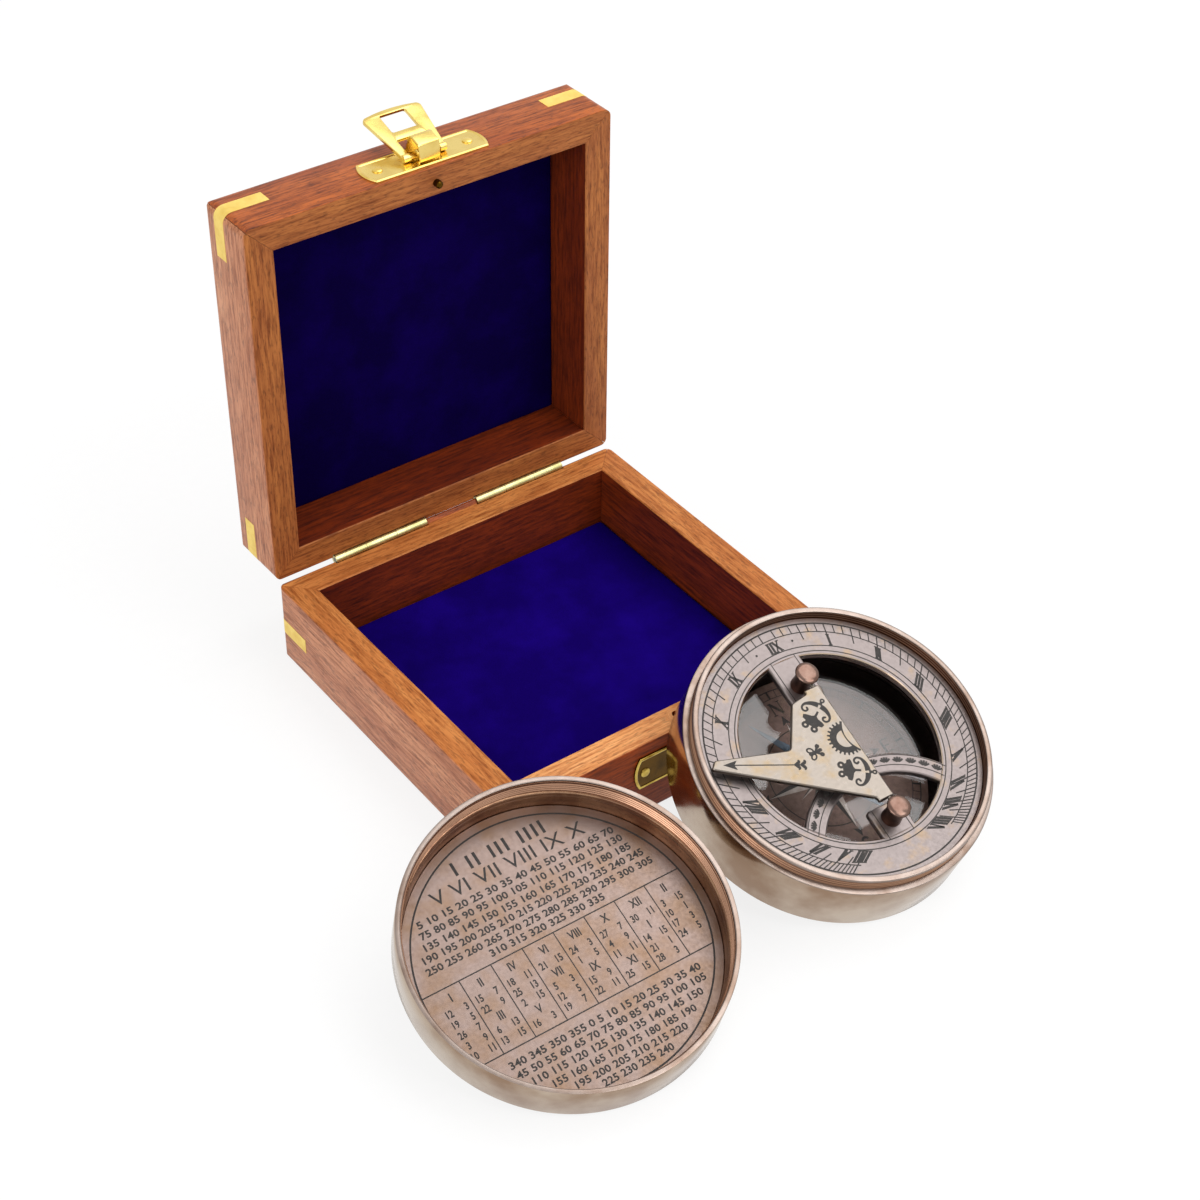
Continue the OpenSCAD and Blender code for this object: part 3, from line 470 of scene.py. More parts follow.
def printed(name, ink, worn, rough=0.6):
    """Black or pale filling and print: flat, with slight fading."""
    made, tree, place = shader(name)
    colour = blend(tree, cloud(tree, place, 1.2), 0.4, 0.75, linear(ink), linear(worn))
    dull = blend(tree, cloud(tree, place, 0.4), 0.3, 0.7, rough, rough + 0.15)
    return coated(made, tree, {"Base Color": colour, "Roughness": dull})


# Hardwood planed, oiled and polished: warm orange with dark streaks and a soft sheen; the left walls' copy is
# paler and greyer with painted sheen, the base's front wall's copy deeper with painted shade
outer_wood = hardwood("polished hardwood side", "#C06424", "#9E4A1A", "#6A2C0A", 0.36, 0.45)
left_wall_wood_painted_sheen = hardwood("polished hardwood with painted sheen", "#CB8A62", "#B06C48", "#8A4C2C", 0.36, 0.4)
front_wall_wood_painted_shade = hardwood("polished hardwood with painted shade", "#B04A08", "#923C04", "#602402", 0.45, 0.35)
# The same wood sawn for the rims: paler, flecked and dull; the base's front rim is lighter still with painted
# light
sawn = {"fleck": (0.54, 0.66), "figure": 5.0}
lid_rim = hardwood("sawn hardwood rim of the lid", "#B46E36", "#A05C2E", "#783C18", 0.6, 0.4, **sawn)
base_rim = hardwood("sawn hardwood rim of the base", "#D08646", "#BF7238", "#96501F", 0.6, 0.35, **sawn)
front_rim_painted_light = hardwood("sawn hardwood rim with painted light", "#F2B072", "#E39A5A", "#B86A38", 0.6, 0.35, **sawn)
# Inside, stained red brown and left without polish
inner_wood = hardwood("stained hardwood inside", "#86330F", "#6E260A", "#461406", 0.5, 0.4)
# Blue cotton velvet glued over card: deep and almost without gloss, lighter where its pile was brushed; the lid's
# copy is darker, a painted shade
base_velvet = velvet("blue velvet of the base", "#11005A", "#170270")
lid_velvet = velvet("blue velvet of the lid with painted shade", "#090034", "#0E0048")
# Yellow brass sheet, polished by hand: bright, with soft uneven reflections, and lighter on its rubbed edges,
# partly from wear and partly a painted highlight
polished_brass = metal("polished yellow brass", "#EACF7C", "#D9B964", (0.16, 0.26), 9.0, fine=2.5, dent=0.0008)
rubbed_brass_painted_highlight = metal("rubbed brass edge with painted highlight", "#F0D67E", "#DDBC60", (0.26, 0.36), 6.0, fine=2.0, dent=0.0006)
# Brass filed flush with the wood: light and even, without a clear reflection
key_brass = metal("filed brass key", "#F3D77A", "#E6C464", (0.42, 0.58), 4.0)
# Drawn brass tube of the hinges: greenish and pale
barrel_brass = metal("drawn pale brass", "#C6BE8A", "#A59C66", (0.25, 0.38), 6.0)
# Brass darkened to olive black as painted shade and a painted dark reflection, on the catch and the peg; its
# edges and nails take a painted highlight
brass_painted_shade = metal("shaded brass", "#5C400C", "#3C2A08", (0.2, 0.3), 7.0, fine=2.5, dent=0.0008)
brass_edge_painted_highlight = metal("brass edge with painted highlight", "#D9BE62", "#A98A38", (0.3, 0.4), 3.0)
# Drawn steel wire of the pins: grey and plain
wire_steel = metal("drawn steel wire", "#6E6C6A", "#565452", (0.3, 0.4), 3.0)
# Bronze silvered and half worn: grey with brown blotches, softly glossy
dial_metal = metal("silvered bronze dial", "#7C7371", "#8A7660", (0.32, 0.46), 5.0, (0.56, 0.78))
gnomon_metal = metal("silvered bronze gnomon", "#837B73", "#86745A", (0.26, 0.4), 5.0, (0.5, 0.74))
# Bronze turned on the lathe: smooth rose grey with marks along the turning, and brighter at its edges
case_metal = metal("satin bronze case", "#BBAA98", "#957B66", (0.14, 0.22), 22.0, (0.4, 0.6), 2.0, 0.002,
                   brushed=(12, 12, 1))
bright_edge = metal("bright turned edge", "#94867E", "#7C675A", (0.28, 0.38), 10.0, (0.44, 0.7), 1.5, 0.0005)
# Cut threads in brown tones: painted highlight on the crests over painted shade in the grooves, the two colours
# given the other way round inside the lid
outer_thread_painted_shade = threaded("outer thread with painted groove shade", "#9E7A62", "#4E3024", (0.28, 0.42))
inner_thread_painted_shade = threaded("inner thread with painted groove shade", "#40241A", "#B88E74", (0.22, 0.34))
# Copper turned and browned: dull red brown heads on darker stems
copper_head = metal("copper post head", "#776056", "#684F45", (0.16, 0.26), 3.0, fine=1.2, dent=0.002)
post_brown = metal("browned post", "#5A4036", "#3C2822", (0.3, 0.45), 3.0)
# Brass inside the bowl, near black as painted shade: takes the light away from round the card
bowl_painted_shade = metal("bowl with painted shade", "#1C1614", "#120D0C", (0.4, 0.6), 6.0)
# Bronze inside the lid, browned, and the greyer engraved plate in it
lid_metal = metal("browned bronze lid", "#A88468", "#7E5B49", (0.26, 0.4), 8.0)
table_metal = metal("bronze table plate", "#84736C", "#7C6452", (0.34, 0.48), 8.0, (0.42, 0.72))
# Steel blued by heat: dark slate with a low gloss
blued_steel = metal("blued steel", "#56606B", "#3A424B", (0.4, 0.52), 4.0)
# Wax rubbed into the cuts, and ink on brown paper: flat and slightly faded
black_fill = printed("black filling", "#221E1C", "#302A26")
card_brown = printed("brown card", "#6A5148", "#523D35", 0.65)
card_black = printed("black print", "#171210", "#241C18")
card_light = printed("pale print", "#A79B93", "#8E8078")
# Flat window glass: clear, with a sharp reflection of the sky
window_glass = clear_glass()


# Box
def wall(name, node, length, height, where, body, seed, flip=False, back=False, more=()):
    """Mitred wall. Its profile (depth from the outer face, height) runs along x, and each point's x ends at
    the mitre: half the length less max(depth, r(1 - cos 45)). Near the ends the outer face follows the
    corner's round, depth = r - sqrt(r^2 - (x - half + r)^2). Behind, pockets take the leaves, and points
    inside the barrels' notches move out to the notches' circle."""
    half, b = length/2, 0.25
    quarter = np.radians(np.linspace(0, 90, 6))
    foot = [(edge_r*(1 - sin(a)), edge_r*(1 - cos(a)), 0) for a in quarter]
    crest_r = hinge_edge_r if back else b
    crest = [(crest_r*(1 - cos(a)), height - crest_r*(1 - sin(a)), 0) for a in quarter]
    pin = height + rim_gap/2
    pocket_z = pin - leaf_top - leaf_h
    beside = notch_r + 0.2
    behind = [(0, pocket_z - 0.01, 0), (0, pocket_z + 0.01, 0),
              (0, pin - sqrt(beside**2 - pin_out**2), 0)] if back else []
    rim = [(sqrt(beside**2 - rim_gap**2/4) - pin_out, height, 1)] if back else []
    rim += [(wall_t/2, height, 1), (wall_t - b, height, 1)]
    crest[-1] = crest[-1][:2] + (1,)
    inside = [(wall_t, height - b, 2), (wall_t, height/2, 2), (wall_t, 0, 0)]
    d0, z, tones = np.array(foot + behind + crest + rim + inside).T
    plain = half - wall_t - 3
    x = np.r_[np.linspace(-plain, plain, 25), half - np.linspace(wall_t + 3, corner_r, 6)[1:],
              half - np.linspace(corner_r, 0, 8)[1:]]
    x = np.r_[x, -x[25:]]
    if back:
        for h in hinges:
            for e in (barrel_len/2, barrel_len/2 + notch_past):
                x = np.r_[x, [-h + s*e + t for s in (-1, 1) for t in (-0.01, 0.01)]]
    x = np.unique(np.round(x, 4))[:, None]
    end = half - np.maximum(d0, corner_r*(1 - cos(pi/4))) - 0.04
    beyond = np.clip((abs(x) - plain)/(half - plain), 0, 1)
    px = np.where(abs(x) <= plain, x, np.sign(x)*(plain + beyond*(end - plain)))
    past = np.clip(abs(px) - (half - corner_r), 0, corner_r)
    d = np.maximum(d0, corner_r - np.sqrt(corner_r**2 - past**2))
    z = np.broadcast_to(z, d.shape).copy()
    if back:
        for h in hinges:
            at_leaf = (abs(px + h) < barrel_len/2) & (z > pocket_z) & (d < leaf_t)
            d = np.where(at_leaf, leaf_t + 0.05, d)
            away = np.hypot(d + pin_out, z - pin)
            push = np.where((abs(px + h) < barrel_len/2 + notch_past) & (away < notch_r), notch_r/away, 1)
            d, z = (d + pin_out)*push - pin_out, (z - pin)*push + pin
    if flip:
        z = height - z
    shape = grid(np.stack([px, d, z], -1), round_j=True, ends=True, tones=tones.astype(int))
    # Copies of the wood with painted light: painted shade on the base's front wall, painted light on its rim,
    # painted sheen on both left walls
    side = front_wall_wood_painted_shade if seed == 0 else left_wall_wood_painted_sheen if seed % 5 == 3 else outer_wood
    top = front_rim_painted_light if seed == 0 else lid_rim if flip else base_rim
    return piece(name, [shape, *more], where, body, [side, top, inner_wood], node, 40, seed)


def bead():
    """Half-round wooden bead between the barrels, on the axis of the pins, and the web that it stands on."""
    round_part = arc(0.62, 280, 20, 20, (-pin_out, rim_gap/2))
    outline = np.vstack([[(0.9, -0.9), (0.1, -0.9)], round_part, [(0.6, 0)]])
    x0, x1 = hinges[0] + barrel_len/2 + 0.1, hinges[1] - barrel_len/2 - 0.1
    return moved(slab(outline, [(0, x0), (0, x1)]), axes((0, 0, base_h), (0, 1, 0), (0, 0, 1), (-1, 0, 0)))


for label, body, place, height in (("base", "box_base", BASE, base_h), ("lid", "box_lid", LID, lid_h)):
    flip = label == "lid"
    for k, (side, length, reach) in enumerate((("front", box_w, box_d), ("right", box_d, box_w),
                                               ("back", box_w, box_d), ("left", box_d, box_w))):
        node = f"{label}_wall_{side}"
        made = wall(node + "_wood", node, length, height, place @ turn("Z", 90*k) @ shift(0, -reach/2, 0), body,
                    k + 5*flip, flip, side == "back", [bead()] if node == "base_wall_back" else [])
        if node == "base_wall_front":
            bore(made, shift(latch_x, front_y + peg_in, base_h), peg_r + 0.15, 3.0)

inner_w, inner_d = box_w/2 - wall_t, box_d/2 - wall_t


def panel(name, node, z0, z1, place, body, seed):
    """Thin wooden panel between the walls."""
    outline = rounded([(-inner_w, -inner_d, 0), (inner_w, -inner_d, 0), (inner_w, inner_d, 0),
                       (-inner_w, inner_d, 0)])
    piece(name, [slab(outline, eased(z0, z1, 0.2))], place, body, outer_wood, node, seed=seed)


panel("base_floor_wood", "base_floor", 0, floor_t, BASE, "box_base", 11)
panel("lid_panel_wood", "lid_panel", lid_h - panel_t, lid_h, LID, "box_lid", 12)


def pad(name, node, z0, z1, place, body, finish, face):
    """Thin padded panel: height = thickness * edge(x) * edge(y) + slow waves, with edge a quarter round
    over the last 1.5 mm; face is the side that shows, 1 upwards and -1 downwards."""
    w, d, soft = inner_w - 0.12, inner_d - 0.12, 1.5
    near = np.r_[0, 0.15, 0.4, 0.8, 1.2]
    x = np.r_[-w + near, np.linspace(-w + soft, w - soft, 60), w - near[::-1]]
    y = np.r_[-d + near, np.linspace(-d + soft, d - soft, 60), d - near[::-1]]
    gx, gy = np.meshgrid(x, y, indexing="ij")

    def edge(v, half):
        past = np.clip(abs(v) - (half - soft), 0, soft)
        return np.sqrt(np.clip(1 - (past/soft)**2, 0, 1))
    round_off = edge(gx, w)*edge(gy, d)
    wave = 0.10*np.sin(gx/11 + 0.7)*np.cos(gy/13) + 0.06*np.sin(gx/5.3 + gy/7.1) - 0.12
    top = (z1 - z0)*(0.45 + 0.55*round_off) + wave*round_off
    low = z0 if face > 0 else z1
    upper = np.stack([gx, gy, low + face*top], -1)
    lower = np.stack([gx, gy, np.full(gx.shape, low)], -1)
    loop = np.concatenate([upper, lower[:, ::-1]], 1)
    made = piece(name, [grid(loop, round_j=True, ends=True)], place, body, finish, node, 60)


pad("base_velvet_pad", "base_velvet", floor_t, floor_t + base_pad_t, BASE, "box_base", base_velvet, 1)
pad("lid_velvet_pad", "lid_velvet", lid_h - panel_t - lid_pad_t, lid_h - panel_t, LID, "box_lid", lid_velvet, -1)


def keys():
    """Four three-cornered brass keys let in across the mitres, a hair proud of the wood."""
    bend = arc(corner_r + key_proud, 270, 180, 8, (corner_r, corner_r))
    outline = np.vstack([[(key_leg, -key_proud)], bend, [(-key_proud, key_leg)]])
    rows = [(0, key_z - key_t/2), (0, key_z + key_t/2)]
    corner = np.array([box_w/2, box_d/2]) - outline
    return [slab(corner*(a, b), rows) for a in (-1, 1) for b in (-1, 1)]


for label, body, place in (("base", "box_base", BASE), ("lid", "box_lid", LID)):
    piece(label + "_corner_key_strips", keys(), place, body, key_brass, label + "_corner_keys")


def knuckle(z0, z1):
    """Tube of a hinge barrel."""
    b = 0.05
    return lathe([(barrel_bore, z0), (barrel_r - b, z0), (barrel_r, z0 + b), (barrel_r, z1 - b),
                  (barrel_r - b, z1), (barrel_bore, z1)], 40)


def dome(r, h, foot=0.3):
    """Round nail head of radius r: a flat-topped dome h high on a short rim."""
    a = np.radians(np.linspace(0, 90, 7))
    top = [(r*sin(t)**0.8, h*cos(t)**0.6) for t in a[:-1]] + [(r, 0.12*h)]
    return lathe([(0, h)] + top[1:] + [(r, -foot), (0, -foot)], 32)


def hinge_half(name, body, place, pin, up, spans, nodes):
    """Leaves, knuckles and nails of one half of both hinges; `up` is -1 where the leaf hangs below the pin."""
    shapes = []
    flat = shift(0, back_y, pin) @ turn("X", 90)
    for h in hinges:
        at = shift(h, 0, 0) @ flat
        low, top = sorted((up*leaf_top, up*(leaf_top + leaf_h)))
        half = barrel_len/2
        outline = rounded([(-half, low, 0.3), (half, low, 0.3), (half, top, 0.3), (-half, top, 0.3)], 3)
        shapes.append(moved(slab(outline, eased(-0.02, leaf_t, 0.12)), at))
        for a, b in spans:
            rib = rounded([(a, 0, 0), (b, 0, 0), (b, up*4, 0), (a, up*4, 0)])
            shapes.append(moved(slab(rib, [(0, 0.05), (0, leaf_t - 0.05)]), at))
            shapes.append(moved(knuckle(a, b), shift(h, pin_y, pin) @ turn("Y", 90)))
    piece(name, shapes, place, body, barrel_brass, nodes[0])
    nail_z = pin + up*(leaf_top + leaf_h/2)
    heads = [moved(dome(1.05, 0.22), shift(h + 9*k, back_y, nail_z) @ turn("X", -90))
             for h in hinges for k in (-1, 0, 1)]
    piece(name + "_nails", heads, place, body, key_brass, nodes[1])


span = (barrel_len - 0.1)/3
half = barrel_len/2
hinge_half("base_hinge_half", "box_base", BASE, pin_z, -1, [(-half, -half + span), (half - span, half)],
           ("base_hinge_leaves", "base_hinge_nails"))
hinge_half("lid_hinge_half", "box_lid", LID, -rim_gap/2, 1, [(-span/2, span/2)],
           ("lid_hinge_leaves", "lid_hinge_nails"))


# Latch
def bowed(w, h, bow=1.4):
    """Outline of a plate w by h whose ends are shallow arcs."""
    r = (h*h/4 + bow*bow)/(2*bow)
    a = np.degrees(np.arcsin(h/(2*r)))
    right = arc(r, -a, a, 13, (w/2 - r, 0))
    return np.vstack([right, -right])


def plate(w):
    """Thin plate with a low rounded border; the border rows take the plate's second finish, a painted highlight.
    """
    rows = [(0, 0), (0, 0.35), (0.1, 0.52), (0.28, 0.62), (0.5, 0.62), (0.7, 0.52), (0.9, plate_t)]
    return slab(bowed(w, plate_h), rows, [0, 1, 1, 1, 1, 0])


def rod(r, x0, x1, b):
    """Round bar along X from x0 to x1, its ends eased by b."""
    profile = [(0, x0), (r - b, x0), (r, x0 + b), (r, x1 - b), (r - b, x1), (0, x1)]
    return moved(lathe(profile, 32), turn("Y", 90))


def nails(name, where, body, finish, node):
    """Two flat-domed nails through the ends of a plate."""
    heads = [moved(dome(1.3, 0.5), shift(s*nail_half, 0, plate_t)) for s in (-1, 1)]
    piece(name, heads, where, body, finish, node)


axis_up = hasp_z - latch_z
tongue = rounded([(axis_up - 2.7, 0.8, 0.1), (axis_up - 2.7, 3.2, 0.3), (axis_up - 2.4, 5.2, 0.8),
                  (axis_up + 1.8, 6.6, 1.6), (axis_up + 4.6, 0.3, 0), (axis_up + 3.8, 0.3, 0),
                  (axis_up + 1.5, 5.8, 1.0), (axis_up - 1.7, 4.4, 0.4), (axis_up - 1.9, 3.2, 0.3),
                  (axis_up - 1.9, 0.8, 0.1)], 8)
curl = np.vstack([arc(1.3, -20, 200, 24, (axis_up, hasp_out)), [(axis_up - 1.2, 0.3), (axis_up + 1.2, 0.3)]])
latch_shapes = [plate(latch_w), moved(slab(tongue, eased(-2.9, 2.9, 0.18)), ACROSS),
                moved(slab(curl, eased(-2.2, 2.2, 0.15)), ACROSS)]
piece("latch_plate_and_tongue", latch_shapes, LATCH, "box_lid", [polished_brass, rubbed_brass_painted_highlight], "latch_plate",
      28)
nails("latch_plate_nails", LATCH, "box_lid", rubbed_brass_painted_highlight, "latch_nails")

hook = rounded([(-0.8, 0.3, 0), (0.3, 0.3, 0), (0.3, 4.4, 0.5), (-2.3, 4.4, 0.3), (-2.3, 3.3, 0.2),
                (-0.8, 3.3, 0.2)])
hook_frame = shift(0, base_h + rim_gap + hasp_z - (window_low + window_high)/2 - catch_z, 0) @ ACROSS
piece("catch_plate_and_hook", [plate(catch_w), moved(slab(hook, eased(-2.5, 2.5, 0.15)), hook_frame)], CATCH,
      "box_base", [brass_painted_shade, brass_edge_painted_highlight], "catch_plate", 28)
nails("catch_plate_nails", CATCH, "box_base", brass_edge_painted_highlight, "catch_nails")

foot, tip, crown_r = 6.0, 8.3, 38.7
crown = arc(crown_r, 83, 97, 15, (0, hasp_len - crown_r))
frame_line = rounded([(-foot, -0.2, 0.3), (-slot_half, -0.2, 0.2), (-slot_half, slot_to, 0.4),
                      (slot_half, slot_to, 0.4), (slot_half, -0.2, 0.2), (foot, -0.2, 0.3),
                      (tip, hasp_len - 0.9, 1.3), *[(x, y, 0) for x, y in crown], (-tip, hasp_len - 0.9, 1.3)])
window = rounded([(-window_half, window_low, 0.5), (window_half, window_low, 0.5),
                  (window_half, window_high, 0.5), (-window_half, window_high, 0.5)])
bar = rod(0.8, -5.6, 5.6, 0.1)
curls = [rod(1.02, -foot, -slot_half, 0.12), rod(1.02, slot_half, foot, 0.12)]
lip_line = arc(crown_r, 81, 99, 15, (0, hasp_len - crown_r - 0.7))
finger_lip = tube(np.c_[lip_line, np.full(15, -0.2)], 0.6)
piece("hasp_loop", [filled([frame_line, window], -0.5, 0.5, 0.22), bar, finger_lip] + curls, HASP, "hasp",
      polished_brass, "hasp", 40)

peg = lathe([(0, -1.8), (0.6, -1.75), (0.92, -1.5), (1.0, -1.1), (1.0, 0.5), (0, 0.5)], 32)
piece("locating_peg", [peg], LID @ shift(latch_x, front_y + peg_in, 0), "box_lid", brass_painted_shade, "locating_pin")


# Compass case and bowl
def between(z0, z1, r, steps):
    """Profile points of a thread at crest radius r, its depth fading in and out at both ends."""
    return [(r, z, min(1.0, 6*(z - z0)/(z1 - z0), 6*(z1 - z)/(z1 - z0))) for z in np.linspace(z0, z1, steps)]


def underside(low, waist, shoulder):
    """Profile of a turned cup from the middle of its underside, at height low, up its wall to the shoulder."""
    r = case_r
    return [(0, low), (30, low), (r - 0.8, low), (r - 0.4, low + 0.1), (r - 0.1, low + 0.4), (r, low + 0.8),
            (r, waist), (r, shoulder)]


neck = between(-0.8, 1.8, neck_r - 0.02, 40)
lip = [(0, -0.3), (0.1, -0.1), (0.3, 0)]
case_profile = (underside(case_low, -8, -1.2) + [(37.52, -0.98), (37.3, -0.9), (36.15, -0.9)] + neck
                + [(neck_r, 1.9)] + [(neck_r - d, neck_top + z) for d, z in lip]
                + [(bore_r + d, neck_top + z) for d, z in lip[::-1]]
                + [(bore_r, -1.4), (bore_r, case_inside), (0, case_inside)])
case_tones = [0]*7 + [1]*3 + [2]*(len(neck) + 1) + [1]*6 + [2] + [3]*2
piece("turned_case", [lathe(case_profile, 192, thread=0.34, tones=case_tones)], COMPASS, "compass",
      [case_metal, bright_edge, outer_thread_painted_shade, bowl_painted_shade], "compass_case", 30)

seat_r, glass_t = glass_r + 0.05, 1
bowl_profile = [(bowl_in, case_inside), (bowl_out, case_inside), (bowl_out, -dial_t - 1), (dial_r, -dial_t - 1),
                (dial_r, -dial_t), (seat_r + 0.25, -dial_t), (seat_r, -dial_t - 0.2), (seat_r, glass_z - glass_t),
                (bowl_in, glass_z - glass_t)]
piece("turned_bowl", [lathe(bowl_profile, 144)], COMPASS, "compass", bowl_painted_shade, "compass_bowl")
keeper = lathe([(bowl_in - 0.2, 0), (seat_r, 0), (seat_r, 0.8), (bowl_in - 0.05, 0.8),
                (bowl_in - 0.2, 0.65)], 144)
disc = lathe([(0, -0.98), (glass_r - 0.1, -0.98), (glass_r, -0.88), (glass_r, -0.12), (glass_r - 0.1, -0.02),
              (0, -0.02)], 144)
WINDOW = COMPASS @ shift(0, 0, glass_z)
piece("glass_keeper", [keeper], WINDOW, "compass", bowl_painted_shade, "glass_ring")
piece("window_disc", [disc], WINDOW, "compass", window_glass, "compass_glass")


# Dial
dial_ring = lathe([(hole_r, -dial_t), (hole_r, -0.45), (hole_r + 0.12, -0.2), (hole_r + 0.4, 0),
                   (dial_r - 0.2, 0), (dial_r, -0.2), (dial_r, -dial_t)], 192, tones=[0, 1, 1, 0, 1, 1, 0])


def arm(end, sign):
    """Arm on the noon line from the ring to its rounded end."""
    w, root = arm_half, hole_r + 0.5
    return rounded([(-w, sign*end, 1.0), (w, sign*end, 1.0), (w, sign*root, 0), (-w, sign*root, 0)][::sign])


def band_arc(r, end, steps):
    """Circle of radius r about (0, -band_back), cut off where it meets radius `end` about the dial's middle."""
    reach = np.degrees(np.arccos((band_back**2 + r*r - end**2)/(2*band_back*r)))
    return arc(r, 90 - reach, 90 + reach, steps, (0, -band_back))


soft = [(0, -dial_t), (0, -0.4), (0.12, -0.16), (0.38, -0.005)]
band = np.vstack([band_arc(band_out, hole_r + 0.45, 48), band_arc(band_in, hole_r + 0.45, 48)[::-1]])
dial_shapes = [dial_ring, slab(arm(noon_arm, 1), soft), slab(arm(south_arm, -1), soft), slab(band, soft)]
piece("dial_ring_and_arms", dial_shapes, COMPASS, "compass", [dial_metal, case_metal], "dial_plate",
      25)


def hour_point(hour, r, side):
    """Where the hour line from its foot, turned 15 degrees an hour from noon, crosses radius r."""
    a = radians(15*hour)
    d = np.array([side*sin(a), cos(a)])
    f = np.array([side*foot_v, foot_u])
    along = f @ d
    return f + d*(-along + sqrt(along**2 - f @ f + r*r))


# Width of each numeral for a height of 1, its strokes (x, y, x, y, weight), and the middles of its serifs
NUMERALS = {
    "I": (0.31, [(0.5, 0.5, 0.5, -0.5, 1)], [(0.5, 0.5), (0.5, -0.5)]),
    "V": (0.56, [(0.1, 0.5, 0.5, -0.5, 1), (0.9, 0.5, 0.5, -0.5, 0.62)], [(0.1, 0.5), (0.9, 0.5)]),
    "X": (0.6, [(0.1, 0.5, 0.9, -0.5, 1), (0.9, 0.5, 0.1, -0.5, 0.62)],
          [(0.1, 0.5), (0.9, 0.5), (0.1, -0.5), (0.9, -0.5)])}


def numeral(text, at, up):
    """Roman numeral that reads along the ring with its top towards the middle; its strokes lean along `up` and
    reach across the ring."""
    inward = -unit(at)
    right = np.array([inward[1], -inward[0]])
    up = np.array(up)/(np.array(up) @ inward)
    x = -sum(NUMERALS[c][0] for c in text)/2
    shapes = []
    for c in text:
        w, lines, serifs = NUMERALS[c]
        half = right*numeral_h*(0.5 if c == "I" else 0.26)*w
        for x0, y0, x1, y1, share in lines:
            ends = [at + numeral_h*(right*(x + w*px) + up*py) for px, py in ((x0, y0), (x1, y1))]
            shapes.append(stroke(ends, numeral_w*share, dial_top + 0.008))
        for px, py in serifs:
            mid = at + numeral_h*(right*(x + w*px) + up*py)
            shapes.append(stroke([mid - half, mid + half], numeral_w*0.45, dial_top + 0.01))
        x += w
    return shapes


# Where fillings cross, each has a top a few thousandths of a millimetre above the last
marks = [ring(scale_out, 0.4, dial_top)] + [ring(r, 0.26, dial_top) for r in inner_lines]
# Ticks stand every ten minutes, up to the last on each side of noon; the last numeral on the right is set past
# its hour line
last = {1: 50, -1: 48}
ends = [np.degrees(np.arctan2(*hour_point(last[side]/6, scale_in, 1)[::-1])) - 1.5 for side in (1, -1)]
marks.append(stroke(arc(scale_in, ends[0], 180 - ends[1], 140), 0.26, dial_top + 0.003))
numerals = {1: ("I", "II", "III", "IIII", "V", "VI", "VII", "VIII"),
            -1: ("XI", "X", "IX", "VIII", "VII", "VI", "V", "IIII")}
for side in (-1, 1):
    for tick in range(last[side] + 1):
        hour = tick/6
        low = scale_in if tick % 3 or not tick else half_in if tick % 6 else hour_in
        ends = [hour_point(hour, low, side), hour_point(hour, scale_out, side)]
        marks.append(stroke(ends, 0.26 if tick % 3 else 0.3, dial_top + 0.005))
    for hour, text in enumerate(numerals[side], 1):
        at = hour_point(8.65 if hour == 8 and side > 0 else hour, numeral_r, side)
        a = radians(15*hour)
        marks += numeral(text, at, (-side*sin(a), -cos(a)))
    marks.append(patch(arc(0.3, 0, 345, 16, 28.95*facing(90 - 10.5*side)[0]), dial_top))
    for sign, end in ((1, noon_arm + 0.4), (-1, south_arm + 0.4)):
        marks.append(stroke([(side*3.4, sign*end), (side*3.4, sign*25.35)], 0.22, dial_top))
marks += numeral("XII", np.array([0, numeral_r]), (0, -1))
marks += [stroke(band_arc(r, 25.3, 60), 0.22, dial_top) for r in (25.55, 22.95)]


def palmette(at, out):
    """Small fan of five rounded fingers, opening along `out`."""
    out = unit(out)
    across = np.array([out[1], -out[0]])
    shapes = []
    for k, (x, y) in enumerate(((-1.25, 0.0), (-0.75, 0.5), (-0.05, 0.65), (0.65, 0.55), (1.25, 0.15))):
        ends = [at - 0.7*out + 0.15*x*across, at + across*x*0.7 + out*(y*0.5 - 0.3), at + across*x + out*y]
        shapes.append(stroke(ends, (0.35, 0.5, 0.46), dial_top + 0.004 + 0.001*k))
    return shapes


for side in (-1, 1):
    for k in range(7):
        mid = 24.35*facing(90 - side*(2.7 + 7.6*k))[0] - (0, band_back)
        if hypot(*mid) < 24.2:
            marks += palmette(mid, mid + (0, band_back))
piece("dial_engraving", marks, COMPASS, "compass", black_fill, crease=60)


# Posts and gnomon
post_profile = [(0, -3.2), (1.2, -3.2), (1.2, 0), (2.4, 0), (2.4, 0.5), (2.25, 1.0), (2.2, 4.4), (2.35, 5.0),
                (2.7, 5.15), (2.86, 5.3), (2.9, 5.5), (2.84, 5.75), (2.55, 5.98), (1.9, 6.14), (1.0, 6.26),
                (0.4, 6.3), (0, 6.28)]
for name, u in (("north", 17.4), ("south", -20.7)):
    piece(f"{name}_post_turned", [lathe(post_profile, 48, tones=[0]*8 + [1]*8)],
          COMPASS @ shift(0, u, 0), "compass", [post_brown, copper_head], f"post_{name}", 40)

north_end, south_end = 14.15, -17.45
blade = rounded([(1.2, south_end, 0.3), (1.2, north_end, 0.3), (-2.8, north_end, 0.4),
                 (-2.8, north_end - 0.9, 0.4), (-7.4, north_end - 1.65, 0.8), (-14.3, 2.6, 1.2),
                 (-31.83, 8.2, 0.8), (-33.53, 6.5, 0.5), (-2.8, south_end + 1.1, 0.8), (-2.8, south_end, 0.4)])
pivots = moved(lathe([(0, -19.5), (0.45, -19.5), (0.45, 16.2), (0, 16.2)], 20), turn("X", -90))
blade_rows = [(0.1, -0.6), (0, -0.5), (0, 0.3), (0.1, 0.48), (0.3, 0.6)]
piece("gnomon_blade", [slab(blade, blade_rows), pivots], GNOMON, "gnomon", gnomon_metal, "gnomon",
      30)


